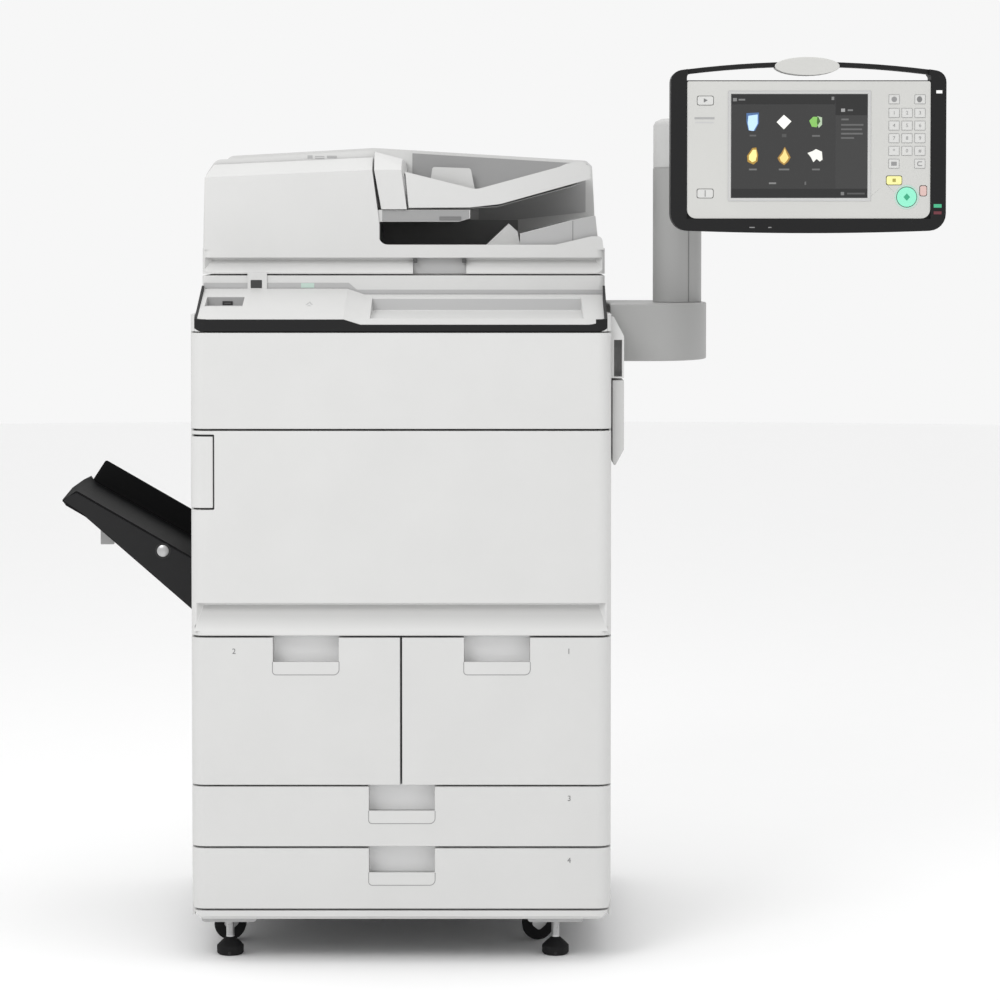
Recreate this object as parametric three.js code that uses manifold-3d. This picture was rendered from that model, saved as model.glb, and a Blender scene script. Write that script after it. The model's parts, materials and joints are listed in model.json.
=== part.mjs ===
// A floor-standing office photocopier: cabinet with four paper drawers, flatbed scanner with a
// document feeder, side trays, and a control panel on a swivelling arm. Every mesh is one piece.
//
// Millimetres, +Z up. While it is built, X = 0 is the middle of the cabinet, Y = 0 is the plane of
// the front panels (the machine faces -Y) and Z = 0 is the floor. The last lines move the whole
// machine so that the origin is the middle of the bottom of its bounding box.
import * as THREE from 'three';
import { ConvexGeometry } from 'three/addons/geometries/ConvexGeometry.js';
import { mergeVertices } from 'three/addons/utils/BufferGeometryUtils.js';
import Module from 'manifold-3d';

// ---- driving dimensions ---------------------------------------------------------------------

const HALF_WIDTH = 324.5;        // cabinet, middle to side
const SCANNER_HALF = 320.6;      // the scanner and the feeder above it are slightly narrower
const CABINET_REAR = 716;
const FRONT_PANEL = 24;          // thickness of doors and drawer fronts
const FRONT_CORNER = 22;         // plan radius at the two front corners
const FRAME_FRONT = 27;          // the chassis starts 3 mm behind the front panels
const FRAME_REAR = 690;
const FRAME_HALF = 313;
const FRAME_WALL = 3;
const SEAM = 3;                  // gap between neighbouring front panels
const PANEL_SKIN = 4;            // wall of a hollow front panel
const COVER_SKIN = 3.5;

const SKIRT_Z = 68;              // underside of the cabinet above the floor
const DRAWER_4_Z = 84.7;
const DRAWER_3_Z = 181.7;
const DRAWER_12_Z = 277.6;
const DOOR_Z = 508.4;
const TONER_COVER_Z = 827.8;
const TRIM_Z = 977.9;            // underside of the black band and of the scanner housing
const SCANNER_TOP = 1061;
const FRAME_BOTTOM = 86;
const FRAME_TOP = 974;

const TRAY_REAR = 186;           // the sloping top tray ends here and the scanner begins
const SCANNER_FRONT = 189;
const FEEDER_FRONT = 195;
const FEEDER_REAR = 692;
const FEEDER_BOTTOM = 1063.7;
const OUTPUT_FLOOR = 1104;       // floor of the space where copied originals land
const REAR_HOUSING_FRONT = 519;

const TOUCH = 0.35;              // air between two pieces that bear on each other
const ROUND_SIDES = 28;
const ARC_STEPS = 6;

// ---- finishes -------------------------------------------------------------------------------

const FINISHES = {
  cover_white: { color: 0xe4e4e3, roughness: 0.55, metalness: 0 },
  drawer_white: { color: 0xdededd, roughness: 0.55, metalness: 0 },
  black_plastic: { color: 0x1b1b1d, roughness: 0.6, metalness: 0 },
  grey_plastic: { color: 0xa5a5a4, roughness: 0.5, metalness: 0 },
  dark_grey_plastic: { color: 0x555558, roughness: 0.55, metalness: 0 },
  panel_grey: { color: 0xd9d9d7, roughness: 0.5, metalness: 0 },
  sheet_steel: { color: 0xb4b7ba, roughness: 0.4, metalness: 0.9 },
  zinc_steel: { color: 0xc4c4c4, roughness: 0.35, metalness: 0.9 },
  rubber: { color: 0x18181a, roughness: 0.85, metalness: 0 },
  screen_glass: { color: 0x202022, roughness: 0.15, metalness: 0 },
  clear_glass: { color: 0xbfd0cc, roughness: 0.08, metalness: 0 },
  pad_white: { color: 0xf2f2f0, roughness: 0.8, metalness: 0 },
  drum_green: { color: 0x2f6e63, roughness: 0.25, metalness: 0.1 },
  key_green: { color: 0x58c99c, roughness: 0.35, metalness: 0 },
  key_yellow: { color: 0xd9cf57, roughness: 0.4, metalness: 0 },
  key_red: { color: 0xcf8f88, roughness: 0.4, metalness: 0 },
  key_grey: { color: 0xcfcfcd, roughness: 0.5, metalness: 0 },
};

// ---- solids ---------------------------------------------------------------------------------

const wasm = await Module();
wasm.setup();

// A closed three.js geometry as a solid that can be joined and cut.
function toSolid(geometry) {
  geometry.deleteAttribute('normal');
  geometry.deleteAttribute('uv');
  const merged = mergeVertices(geometry, 1e-4);
  const mesh = new wasm.Mesh({
    numProp: 3,
    vertProperties: new Float32Array(merged.attributes.position.array),
    triVerts: new Uint32Array(merged.index.array),
  });
  return new wasm.Manifold(mesh);
}

function box(x0, x1, y0, y1, z0, z1) {
  const geometry = new THREE.BoxGeometry(x1 - x0, y1 - y0, z1 - z0);
  geometry.translate((x0 + x1) / 2, (y0 + y1) / 2, (z0 + z1) / 2);
  return toSolid(geometry);
}

// Points of an outline whose corners are [u, v] or [u, v, radius].
function roundedPoints(corners) {
  const points = [];
  corners.forEach(([u, v, radius], i) => {
    const corner = new THREE.Vector2(u, v);
    if (!radius) {
      points.push(corner);
      return;
    }
    const [pu, pv] = corners[(i + corners.length - 1) % corners.length];
    const [nu, nv] = corners[(i + 1) % corners.length];
    const back = new THREE.Vector2(pu - u, pv - v).normalize();
    const ahead = new THREE.Vector2(nu - u, nv - v).normalize();
    const half = Math.acos(THREE.MathUtils.clamp(back.dot(ahead), -1, 1)) / 2;
    const reach = radius / Math.sin(half);
    const centre = back.clone().add(ahead).normalize().multiplyScalar(reach).add(corner);
    const first = corner.clone().addScaledVector(back, radius / Math.tan(half)).sub(centre);
    const last = corner.clone().addScaledVector(ahead, radius / Math.tan(half)).sub(centre);
    let turn = last.angle() - first.angle();
    if (turn > Math.PI) turn -= 2 * Math.PI;
    if (turn < -Math.PI) turn += 2 * Math.PI;
    for (let step = 0; step <= ARC_STEPS; step += 1) {
      const spoke = first.clone().rotateAround(new THREE.Vector2(), (turn * step) / ARC_STEPS);
      points.push(spoke.add(centre));
    }
  });
  return points;
}

// How an outline (u, v) and its sweep direction lie in the machine, for each axis of extrusion.
const PLANES = {
  x: [[0, 1, 0], [0, 0, 1], [1, 0, 0]],
  y: [[1, 0, 0], [0, 0, 1], [0, -1, 0]],
  z: [[1, 0, 0], [0, 1, 0], [0, 0, 1]],
};

// An outline swept along an axis: (y, z) along x, (x, z) along y, or (x, y) along z.
function prism(axis, corners, from, to) {
  const shape = new THREE.Shape(roundedPoints(corners));
  const geometry = new THREE.ExtrudeGeometry(shape, { depth: to - from, bevelEnabled: false });
  const [u, v, sweep] = PLANES[axis].map((direction) => new THREE.Vector3(...direction));
  geometry.applyMatrix4(new THREE.Matrix4().makeBasis(u, v, sweep));
  geometry.translate(...sweep.clone().multiplyScalar(axis === 'y' ? -to : from).toArray());
  return toSolid(geometry);
}

// The smallest convex solid around a list of [x, y, z] points.
function hull(points) {
  return toSolid(new ConvexGeometry(points.map((point) => new THREE.Vector3(...point))));
}

// A turned piece: profile points are [radius, distance along the axis], axis 'x', 'y' or 'z'.
function turned(axis, profile, [x, y, z], sides = ROUND_SIDES) {
  const geometry = new THREE.LatheGeometry(profile.map(([r, h]) => new THREE.Vector2(r, h)), sides);
  if (axis === 'z') geometry.rotateX(Math.PI / 2);
  if (axis === 'x') geometry.rotateZ(-Math.PI / 2);
  geometry.translate(x, y, z);
  return toSolid(geometry);
}

function cylinder(axis, radius, from, to, centre, sides = ROUND_SIDES) {
  return turned(axis, [[0, from], [radius, from], [radius, to], [0, to]], centre, sides);
}

function ringPoints(radiusX, radiusY, [x, y], steps, from = 0, to = 2 * Math.PI) {
  const full = Math.abs(to - from - 2 * Math.PI) < 1e-9;
  const count = full ? steps : steps + 1;
  return Array.from({ length: count }, (_, i) => {
    const angle = from + ((to - from) * i) / steps;
    return [x + radiusX * Math.cos(angle), y + radiusY * Math.sin(angle)];
  });
}

function union(...solids) {
  return solids.reduce((sum, next) => sum.add(next));
}

const machine = new THREE.Group();

function add(name, finish, solid) {
  const { vertProperties, triVerts } = solid.getMesh();
  const geometry = new THREE.BufferGeometry();
  geometry.setAttribute('position', new THREE.BufferAttribute(vertProperties, 3));
  geometry.setIndex(new THREE.BufferAttribute(triVerts, 1));
  geometry.computeVertexNormals();
  const mesh = new THREE.Mesh(geometry, new THREE.MeshStandardMaterial(FINISHES[finish]));
  mesh.name = name;
  machine.add(mesh);
}

// ---- chassis and covers ---------------------------------------------------------------------

const EXIT_SLOT = { y0: 200, y1: 540, z0: 642, z1: 672 };      // copies leave on the left
const BYPASS_SLOT = { y0: 92, y1: 398, z0: 794, z1: 810 };     // hand-fed sheets enter on the right
const SWITCH_Z = 760;                                          // middle of the main power switch
const SWITCH_HALF_X = 6;
const SWITCH_HALF_Z = 12;
const SWITCH_X = -300;
const RAIL_HEIGHT = 12;
const RAIL_DEPTH = 4;

// The paper drawers: the cabinet bay, and the handle pocket, of each.
const WIDE_POCKET = [-50, 52];
const DRAWERS = [
  { name: 'drawer_1', x0: 1.5, x1: HALF_WIDTH, z0: DRAWER_12_Z, z1: DOOR_Z - SEAM, pocket: [97, 199] },
  { name: 'drawer_2', x0: -HALF_WIDTH, x1: -1.5, z0: DRAWER_12_Z, z1: DOOR_Z - SEAM, pocket: [-198, -96] },
  { name: 'drawer_3', x0: -HALF_WIDTH, x1: HALF_WIDTH, z0: DRAWER_3_Z, z1: DRAWER_12_Z - SEAM, pocket: WIDE_POCKET },
  { name: 'drawer_4', x0: -HALF_WIDTH, x1: HALF_WIDTH, z0: DRAWER_4_Z, z1: DRAWER_3_Z - SEAM, pocket: WIDE_POCKET },
];
const BIN_FRONT = 34.7;
const BIN_REAR = 600;
const BIN_WALL = 2;

// The inside faces of a drawer's bay, left and right.
function bayWalls({ x0, x1 }) {
  const left = x0 === -HALF_WIDTH ? -FRAME_HALF + FRAME_WALL : x0;
  const right = x1 === HALF_WIDTH ? FRAME_HALF - FRAME_WALL : x1;
  return [left, right];
}

function railZ({ z0, z1 }) {
  return (z0 + z1) / 2;
}

function mainFrame() {
  const inside = FRAME_REAR - FRAME_WALL;
  let frame = box(-FRAME_HALF, FRAME_HALF, FRAME_FRONT, FRAME_REAR, FRAME_BOTTOM, FRAME_TOP);
  const engineBay = box(
    -FRAME_HALF + FRAME_WALL, FRAME_HALF - FRAME_WALL,
    FRAME_FRONT - 1, inside, DOOR_Z, FRAME_TOP - FRAME_WALL,
  );
  frame = frame.subtract(engineBay);
  for (const drawer of DRAWERS) {
    const [left, right] = bayWalls(drawer);
    const floor = Math.max(drawer.z0, FRAME_BOTTOM + FRAME_WALL);
    frame = frame.subtract(box(left, right, FRAME_FRONT - 1, inside, floor, drawer.z1));
  }
  for (const drawer of DRAWERS) {
    const [left, right] = bayWalls(drawer);
    const top = railZ(drawer) - TOUCH;
    const ledge = [FRAME_FRONT + 12, BIN_REAR, top - 3, top];
    frame = union(frame, box(left - 1, left + 5, ...ledge), box(right - 5, right + 1, ...ledge));
  }
  const switchPlate = box(-FRAME_HALF + 1, -286, FRAME_FRONT, FRAME_FRONT + FRAME_WALL, 690, 830);
  const switchHole = box(
    SWITCH_X - SWITCH_HALF_X - 1, SWITCH_X + SWITCH_HALF_X + 1, FRAME_FRONT - 1, FRAME_FRONT + 4,
    SWITCH_Z - SWITCH_HALF_Z - 3, SWITCH_Z + SWITCH_HALF_Z + 3,
  );
  const exitSlot = box(-FRAME_HALF - 1, -FRAME_HALF + 4, EXIT_SLOT.y0, EXIT_SLOT.y1, EXIT_SLOT.z0, EXIT_SLOT.z1);
  const bypassSlot = box(
    FRAME_HALF - 4, FRAME_HALF + 1, BYPASS_SLOT.y0, BYPASS_SLOT.y1, BYPASS_SLOT.z0, BYPASS_SLOT.z1,
  );
  return union(frame, switchPlate).subtract(switchHole).subtract(exitSlot).subtract(bypassSlot);
}

// The space left by the soft lower corners of the cabinet's front.
function lowerCorners() {
  const right = [[HALF_WIDTH - 18.5, SKIRT_Z - 0.5, 5], [HALF_WIDTH - 6, 77, 12], [HALF_WIDTH, 98, 24], [HALF_WIDTH, 600]];
  const left = right.map(([x, z, radius]) => [-x, z, radius]).reverse();
  return prism('y', [...left, ...right], -1, 40);
}

// The skirt under the lowest drawer, with its lower front edge cut back.
function baseSkirt() {
  const top = DRAWER_4_Z - SEAM;
  const plan = prism('z', frontOutline(-HALF_WIDTH, HALF_WIDTH, true, true), SKIRT_Z, top);
  const side = prism('x', [[0, SKIRT_Z + 5], [0, top], [FRONT_PANEL, top], [FRONT_PANEL, SKIRT_Z], [5, SKIRT_Z]], -330, 330);
  return plan.intersect(side).intersect(lowerCorners());
}

// The part of a side cover that stands up beside the edge of the sloping tray.
function cheek(side) {
  const plan = prism('z', [
    [-HALF_WIDTH, TRAY_REAR], [-HALF_WIDTH, 0, FRONT_CORNER], [HALF_WIDTH, 0, FRONT_CORNER], [HALF_WIDTH, TRAY_REAR],
  ], TRIM_Z + 0.1, CHEEK_TOP);
  const inner = [[trimHalf(-2) + TOUCH, -2], [trimHalf(190) + TOUCH, 190]];
  const between = prism('z', [...inner, ...inner.map(([x, y]) => [-x, y]).reverse()], TRIM_Z - 1, CHEEK_TOP + 1);
  const half = side < 0 ? box(-330, 0, -1, 190, 900, 1100) : box(0, 330, -1, 190, 900, 1100);
  return plan.subtract(between).intersect(half);
}

function leftCover() {
  const plate = box(-HALF_WIDTH, -HALF_WIDTH + COVER_SKIN, FRAME_FRONT + TOUCH, CABINET_REAR, SKIRT_Z + 2, FRAME_TOP);
  const slot = box(-330, -310, EXIT_SLOT.y0 - 4, EXIT_SLOT.y1 + 4, EXIT_SLOT.z0 - 4, EXIT_SLOT.z1 + 4);
  const web = box(-HALF_WIDTH, -HALF_WIDTH + COVER_SKIN, FRAME_FRONT + TOUCH, TRAY_REAR, FRAME_TOP - 1, TRIM_Z + 1);
  return union(plate.subtract(slot), web, cheek(-1));
}

// The right cover carries a shoulder above the bypass tray, with a finger pocket in its front end.
function rightCover() {
  const plate = box(HALF_WIDTH - COVER_SKIN, HALF_WIDTH, FRAME_FRONT + TOUCH, CABINET_REAR, SKIRT_Z + 2, FRAME_TOP);
  const slot = box(310, 335, BYPASS_SLOT.y0 - 2, BYPASS_SLOT.y1 + 2, BYPASS_SLOT.z0 - 2, BYPASS_SLOT.z1 + 2);
  const shoulder = prism('y', [
    [HALF_WIDTH - 1, 905], [344.5, 905], [344.5, 969.6], [329, 999], [HALF_WIDTH - 1, 999],
  ], 30, 104);
  const pocket = box(329, 341.5, 29, 56, 907, 964);
  const web = box(HALF_WIDTH - COVER_SKIN, HALF_WIDTH, FRAME_FRONT + TOUCH, TRAY_REAR, FRAME_TOP - 1, TRIM_Z + 1);
  return union(plate.subtract(slot), web, cheek(1), shoulder).subtract(pocket);
}

// The rear cover is a shallow pan over the chassis's rear plate.
function rearCover() {
  const half = HALF_WIDTH - COVER_SKIN - TOUCH;
  const outer = box(-half, half, FRAME_REAR + TOUCH, CABINET_REAR, SKIRT_Z + 2, FRAME_TOP);
  const hollow = box(-half + 4, half - 4, FRAME_REAR, CABINET_REAR - 4, SKIRT_Z + 8, FRAME_TOP - 4);
  return outer.subtract(hollow);
}

// The plate behind the front door that carries the front ends of the rollers and the toner bottle.
function innerCover() {
  let plate = box(-308, 308, 60, 64, DOOR_Z + 2, FRAME_TOP - 5);
  plate = plate.subtract(cylinder('y', TONER.radius + 2, 58, 66, [TONER.x, 0, TONER.z]));
  for (const roller of ROLLERS) {
    plate = plate.subtract(cylinder('y', roller.shaft + 1, 58, 66, [roller.x, 0, roller.z], 16));
  }
  return plate;
}

// ---- front panels and drawers ---------------------------------------------------------------

// Plan outline of a front panel, its outer corners rounded where it meets the cabinet's sides.
function frontOutline(x0, x1, roundLeft, roundRight) {
  return [
    [x0, FRONT_PANEL], [x0, 0, roundLeft ? FRONT_CORNER : 2],
    [x1, 0, roundRight ? FRONT_CORNER : 2], [x1, FRONT_PANEL],
  ];
}

const FLAP = { x1: -289.5, z0: 706, z1: 816 };   // cover of the main power switch

function frontDoor() {
  const top = TONER_COVER_Z - SEAM;
  const slab = prism('z', frontOutline(-HALF_WIDTH, HALF_WIDTH, true, true), DOOR_Z, top);
  const hollow = box(FLAP.x1 + 7, HALF_WIDTH - 20, PANEL_SKIN, FRONT_PANEL + 1, 572, top - PANEL_SKIN);
  const notch = box(-330, FLAP.x1 + 2, -1, FRONT_PANEL + 1, FLAP.z0 - 3, FLAP.z1 + 3);
  return slab.subtract(fingerGroove(DOOR_Z + 3.5, 558.5, 0)).subtract(hollow).subtract(notch);
}

// A groove along the foot of a panel: it drops in sharply at the top and runs out below.
function fingerGroove(low, high, front) {
  const depth = 16.5;
  const section = prism('x', [
    [front - 1, high], [front + depth - 1.5, high], [front + depth, high - 3.5], [front, low], [front - 1, low],
  ], -HALF_WIDTH, HALF_WIDTH);
  const ends = prism('z', [
    [-HALF_WIDTH + 2, front - 2], [-HALF_WIDTH + 20, front + depth + 1],
    [HALF_WIDTH - 20, front + depth + 1], [HALF_WIDTH - 2, front - 2],
  ], low - 1, high + 1);
  return section.intersect(ends);
}

function tonerCover() {
  const top = TRIM_Z - 2;
  const slab = prism('z', frontOutline(-HALF_WIDTH, HALF_WIDTH, true, true), TONER_COVER_Z, top);
  const hollow = box(-300, 300, PANEL_SKIN, FRONT_PANEL + 1, TONER_COVER_Z + PANEL_SKIN, top - PANEL_SKIN);
  return slab.subtract(hollow);
}

function powerSwitchCover() {
  const outer = prism('z', [[-HALF_WIDTH, 20], [-HALF_WIDTH, 0, 18], [FLAP.x1, 0, 2], [FLAP.x1, 20]], FLAP.z0, FLAP.z1);
  const inner = prism('z', [[-HALF_WIDTH + 4, 21], [-HALF_WIDTH + 4, 4, 12], [FLAP.x1 - 4, 4], [FLAP.x1 - 4, 21]], FLAP.z0 + 4, FLAP.z1 - 4);
  return outer.subtract(inner);
}

const POCKET = { height: 57, lip: 19.5, lipThickness: 5, depth: 30, cup: 34.4 };

function drawerFront({ x0, x1, z0, z1, pocket: [p0, p1] }) {
  const outline = frontOutline(x0, x1, x0 === -HALF_WIDTH, x1 === HALF_WIDTH);
  const slab = prism('z', outline, z0, z1).intersect(lowerCorners());
  const hollow = box(x0 + 20, x1 - 20, PANEL_SKIN, FRONT_PANEL + 1, z0 + PANEL_SKIN, z1 - PANEL_SKIN);
  const bottom = z1 - POCKET.height;
  const cup = box(p0 - 4, p1 + 4, PANEL_SKIN - 1, POCKET.cup, bottom - 4, z1);
  const mouth = box(p0, p1, -1, POCKET.depth, bottom, z1 + 1);
  const lip = box(p0 - 1, p1 + 1, -2, POCKET.lipThickness, bottom - 1, bottom + POCKET.lip);
  return union(slab.subtract(hollow), cup).subtract(mouth.subtract(lip));
}

// An open-topped bin with a slide rail along each side.
function drawerBin(drawer) {
  const [left, right] = bayWalls(drawer);
  const x0 = left + 6;
  const x1 = right - 6;
  const z0 = Math.max(drawer.z0, FRAME_BOTTOM + FRAME_WALL) + 4;
  const z1 = drawer.z1 - 8;
  const outer = box(x0, x1, BIN_FRONT, BIN_REAR, z0, z1);
  const inner = box(x0 + BIN_WALL, x1 - BIN_WALL, BIN_FRONT + BIN_WALL, BIN_REAR - BIN_WALL, z0 + BIN_WALL, z1 + 1);
  const rail = [BIN_FRONT + 10, BIN_REAR, railZ(drawer), railZ(drawer) + RAIL_HEIGHT];
  const rails = union(box(x0 - RAIL_DEPTH, x0 + 1, ...rail), box(x1 - 1, x1 + RAIL_DEPTH, ...rail));
  return union(outer.subtract(inner), rails);
}

// ---- top tray, trim and scanner -------------------------------------------------------------

const TRAY = {
  front: 4, leftLow: 996, leftHigh: 1040, rightLow: 988, rightHigh: 1031,
  stepLeft: -88, stepRight: -62, recessLeft: -49, recessRight: 282,
};
const TRIM = { half: 317.5, thickness: 3.6, corner: 20, rearTop: 1045 };
const CHEEK_TOP = 1004;

// Half the width over the black edge strips of the tray, which widens a little to the rear.
function trimHalf(y) {
  return TRIM.half + ((SCANNER_HALF - TRIM.half) * y) / TRAY_REAR;
}

function traySection(low, high) {
  return [[0, TRIM_Z], [0, low], [TRAY.front, low + 1], [TRAY_REAR, high], [TRAY_REAR, TRIM_Z]];
}

// The plan of the tray, inset by a distance from its front and sides.
function trayPlan(inset) {
  const wide = prism('z', [
    [-HALF_WIDTH + inset, 200], [-HALF_WIDTH + inset, inset, FRONT_CORNER - inset],
    [HALF_WIDTH - inset, inset, FRONT_CORNER - inset], [HALF_WIDTH - inset, 200],
  ], 970, 1100);
  const taper = [[trimHalf(-2) - inset, -2], [trimHalf(200) - inset, 200]];
  return wide.intersect(prism('z', [...taper, ...taper.map(([x, y]) => [-x, y]).reverse()], 970, 1100));
}

// The black band across the front and up both edges of the tray, made larger by the given amount.
function trimSolid(grow) {
  const shell = trayPlan(-grow).subtract(trayPlan(TRIM.thickness + grow));
  const corner = TRIM.corner + grow;
  const band = prism('y', [
    [-HALF_WIDTH - 1, TRAY.leftLow + grow], [-trimHalf(0) - grow, TRIM_Z - grow, corner],
    [trimHalf(0) + grow, TRIM_Z - grow, corner], [HALF_WIDTH + 1, TRAY.leftLow + grow],
    [290, TRAY.rightLow + grow], [TRAY.stepRight, TRAY.rightLow + grow], [TRAY.stepLeft, TRAY.leftLow + grow],
  ], -1, TRIM.thickness + 3);
  const edges = prism('x', [
    [-1, 991 - grow], [-1, 996 + grow], [5, 997 + grow], [TRAY_REAR, TRIM.rearTop + grow],
    [TRAY_REAR, 1024 - grow], [12, 984 - grow],
  ], -330, 330).intersect(union(box(-330, -300, -2, 190, 960, 1100), box(300, 330, -2, 190, 960, 1100)));
  return shell.intersect(union(band, edges));
}

function topTray() {
  const half = HALF_WIDTH;
  const left = traySection(TRAY.leftLow, TRAY.leftHigh);
  const right = traySection(TRAY.rightLow, TRAY.rightHigh);
  const step = hull([
    ...left.map(([y, z]) => [TRAY.stepLeft - 0.5, y, z]),
    ...right.map(([y, z]) => [TRAY.stepRight + 0.5, y, z]),
  ]);
  const usbNotch = box(-308, -249, 80, 137, 1014.4, 1060);
  const recess = hull([TRAY.recessLeft, TRAY.recessRight].flatMap((x) => [
    [x, 38, 992.5], [x, 160, 1006], [x, 36, 1060], [x, 176, 1060],
  ]));
  const body = union(prism('x', left, -half, TRAY.stepLeft), step, prism('x', right, TRAY.stepRight, half));
  return body.intersect(trayPlan(0)).subtract(trimSolid(0.5)).subtract(usbNotch).subtract(recess);
}

function topTrim() {
  return trimSolid(0);
}

const GLASS = { halfX: 228, y0: 240, y1: 560, thickness: 2.7 };

function scannerHousing() {
  const outer = prism('z', [
    [-SCANNER_HALF, CABINET_REAR], [-SCANNER_HALF, SCANNER_FRONT, 10],
    [SCANNER_HALF, SCANNER_FRONT, 10], [SCANNER_HALF, CABINET_REAR],
  ], TRIM_Z, SCANNER_TOP);
  const inside = box(-314, 314, SCANNER_FRONT + 6, CABINET_REAR - 6, TRIM_Z + 3, SCANNER_TOP - 5);
  const window = box(-GLASS.halfX + 12, GLASS.halfX - 12, GLASS.y0 + 12, GLASS.y1 - 12, SCANNER_TOP - 6, SCANNER_TOP + 1);
  const ledge = box(-GLASS.halfX, GLASS.halfX, GLASS.y0, GLASS.y1, SCANNER_TOP - 3, SCANNER_TOP + 1);
  return outer.subtract(inside).subtract(window).subtract(ledge);
}

function platenGlass() {
  const top = SCANNER_TOP;
  return box(
    -GLASS.halfX + TOUCH, GLASS.halfX - TOUCH, GLASS.y0 + TOUCH, GLASS.y1 - TOUCH,
    top - GLASS.thickness, top - 0.2,
  );
}

function scanCarriage() {
  const beam = box(-205, -165, 225, 575, 1008, 1044);
  const lampSlot = box(-190, -180, 240, 560, 1036, 1050);
  return beam.subtract(lampSlot);
}

// ---- document feeder ------------------------------------------------------------------------

// The slanted joint between the fixed front strip and the nose of the feeder cover.
const STRIP_RIGHT = { top: -50, topZ: 1229, foot: -38.5, footZ: 1143 };

function feederBase() {
  const left = -321;
  const slab = prism('z', [
    [left, FEEDER_REAR], [left, FEEDER_FRONT, 14], [-left, FEEDER_FRONT, 14], [-left, FEEDER_REAR],
  ], FEEDER_BOTTOM, OUTPUT_FLOOR);
  const frontPlate = prism('y', [
    [left + 4, OUTPUT_FLOOR - 2], [left + 4.5, 1217], [STRIP_RIGHT.top, STRIP_RIGHT.topZ],
    [STRIP_RIGHT.foot, 1110, 15], [242, 1110], [300, 1123.5], [316, 1123.5, 8], [319, OUTPUT_FLOOR - 2],
  ], FEEDER_FRONT, FEEDER_FRONT + 8);
  const strip = hull([
    [left + 1, FEEDER_FRONT + 12, OUTPUT_FLOOR - 2], [left + 4.5, FEEDER_FRONT, 1217], [left + 4, FEEDER_FRONT, OUTPUT_FLOOR - 2],
    [STRIP_RIGHT.top, FEEDER_FRONT, STRIP_RIGHT.topZ], [STRIP_RIGHT.foot, FEEDER_FRONT, STRIP_RIGHT.footZ],
    [STRIP_RIGHT.foot, FEEDER_FRONT, OUTPUT_FLOOR - 2],
    [left + 1, 240, OUTPUT_FLOOR - 2], [left + 4, 240, 1212], [left + 16, 240, 1238], [STRIP_RIGHT.top, 240, 1250],
    [STRIP_RIGHT.foot, 240, STRIP_RIGHT.footZ], [STRIP_RIGHT.foot, 240, OUTPUT_FLOOR - 2],
  ]);
  const slotEnd = prism('y', [[STRIP_RIGHT.foot, 1110, 15], [0, 1110], [0, 1143], [STRIP_RIGHT.foot, 1143, 15]], 190, 245);
  const sideWall = box(left, left + 21, 230, REAR_HOUSING_FRONT + 1, OUTPUT_FLOOR - 2, 1153);
  const feedBlock = box(left + 21.5, -42, 235, REAR_HOUSING_FRONT + 1, OUTPUT_FLOOR - 2, 1160);
  const innerGuide = prism('y', [[-60, 1146.5], [88, 1146.5], [106, 1152], [106, 1165.5], [-60, 1165.5]], 200, REAR_HOUSING_FRONT + 1);
  const rearHousing = prism('y', [
    [left, OUTPUT_FLOOR - 2], [left + 3, 1226, 10], [left + 20, 1257.5, 16], [-56, 1271, 40],
    [301, 1249.5, 8], [311, 1240, 4], [318, OUTPUT_FLOOR - 2],
  ], REAR_HOUSING_FRONT, FEEDER_REAR);
  const ramp = prism('y', [[186, OUTPUT_FLOOR - 2], [186, 1127.7], [268, 1149], [306, 1156], [312, OUTPUT_FLOOR - 2]], 208, REAR_HOUSING_FRONT + 1);
  const stop = prism('y', [[124, OUTPUT_FLOOR - 2], [168, 1143.7], [182, 1131], [188, OUTPUT_FLOOR - 2]], 240, 480);
  const solid = union(slab, frontPlate, strip.subtract(slotEnd), sideWall, feedBlock, innerGuide, rearHousing, ramp, stop);

  const underside = [FEEDER_BOTTOM - 1, OUTPUT_FLOOR - 8];
  const hollows = union(
    box(-310, 310, FEEDER_FRONT + 20, FEEDER_REAR - 12, ...underside),
    box(-296, -52, FEEDER_FRONT + 50, REAR_HOUSING_FRONT, FEEDER_BOTTOM - 1, 1152),
    box(-300, 296, REAR_HOUSING_FRONT + 8, FEEDER_REAR - 8, FEEDER_BOTTOM - 1, 1226),
  );
  const grip = box(15, 100, FEEDER_FRONT - 1, FEEDER_FRONT + 17, FEEDER_BOTTOM - 1, 1088);
  return solid.subtract(hollows).subtract(fingerGroove(1066, 1089.5, FEEDER_FRONT)).subtract(grip);
}

// The cover that swings up to clear a jam; its nose reaches forward beside the fixed strip.
function feederCover() {
  const outline = [
    [-318, 1156], [-318, 1222, 8], [-302, 1246, 16], [-56, 1261, 6], [-2.5, 1248, 3], [3.5, 1186], [5, 1170],
    [-64, 1170], [-64, 1163], [-313.8, 1163], [-313.8, 1156],
  ];
  const body = prism('y', outline, 243.3, 515.5);
  const nose = hull([
    [-46.6, 195, 1229], [-46.6, 214, 1250], [-46.6, 244, 1259], [-35.2, 195, 1166.5], [-35.2, 244, 1166.5],
    [-3.6, 195, 1229], [-2.9, 212, 1241], [-2.5, 244, 1247], [5.2, 195, 1166.5], [5.2, 244, 1166.5],
  ]);
  const inside = prism('y', [[-314, 1140], [-314, 1219], [-300, 1242], [-56, 1256], [-7, 1244.5], [-4, 1225], [30, 1222], [30, 1140]], 247, 512);
  const shaftNotch = box(-36, -6, 500, 520, 1140, 1216);
  return union(body.subtract(inside), nose).subtract(shaftNotch);
}

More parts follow.
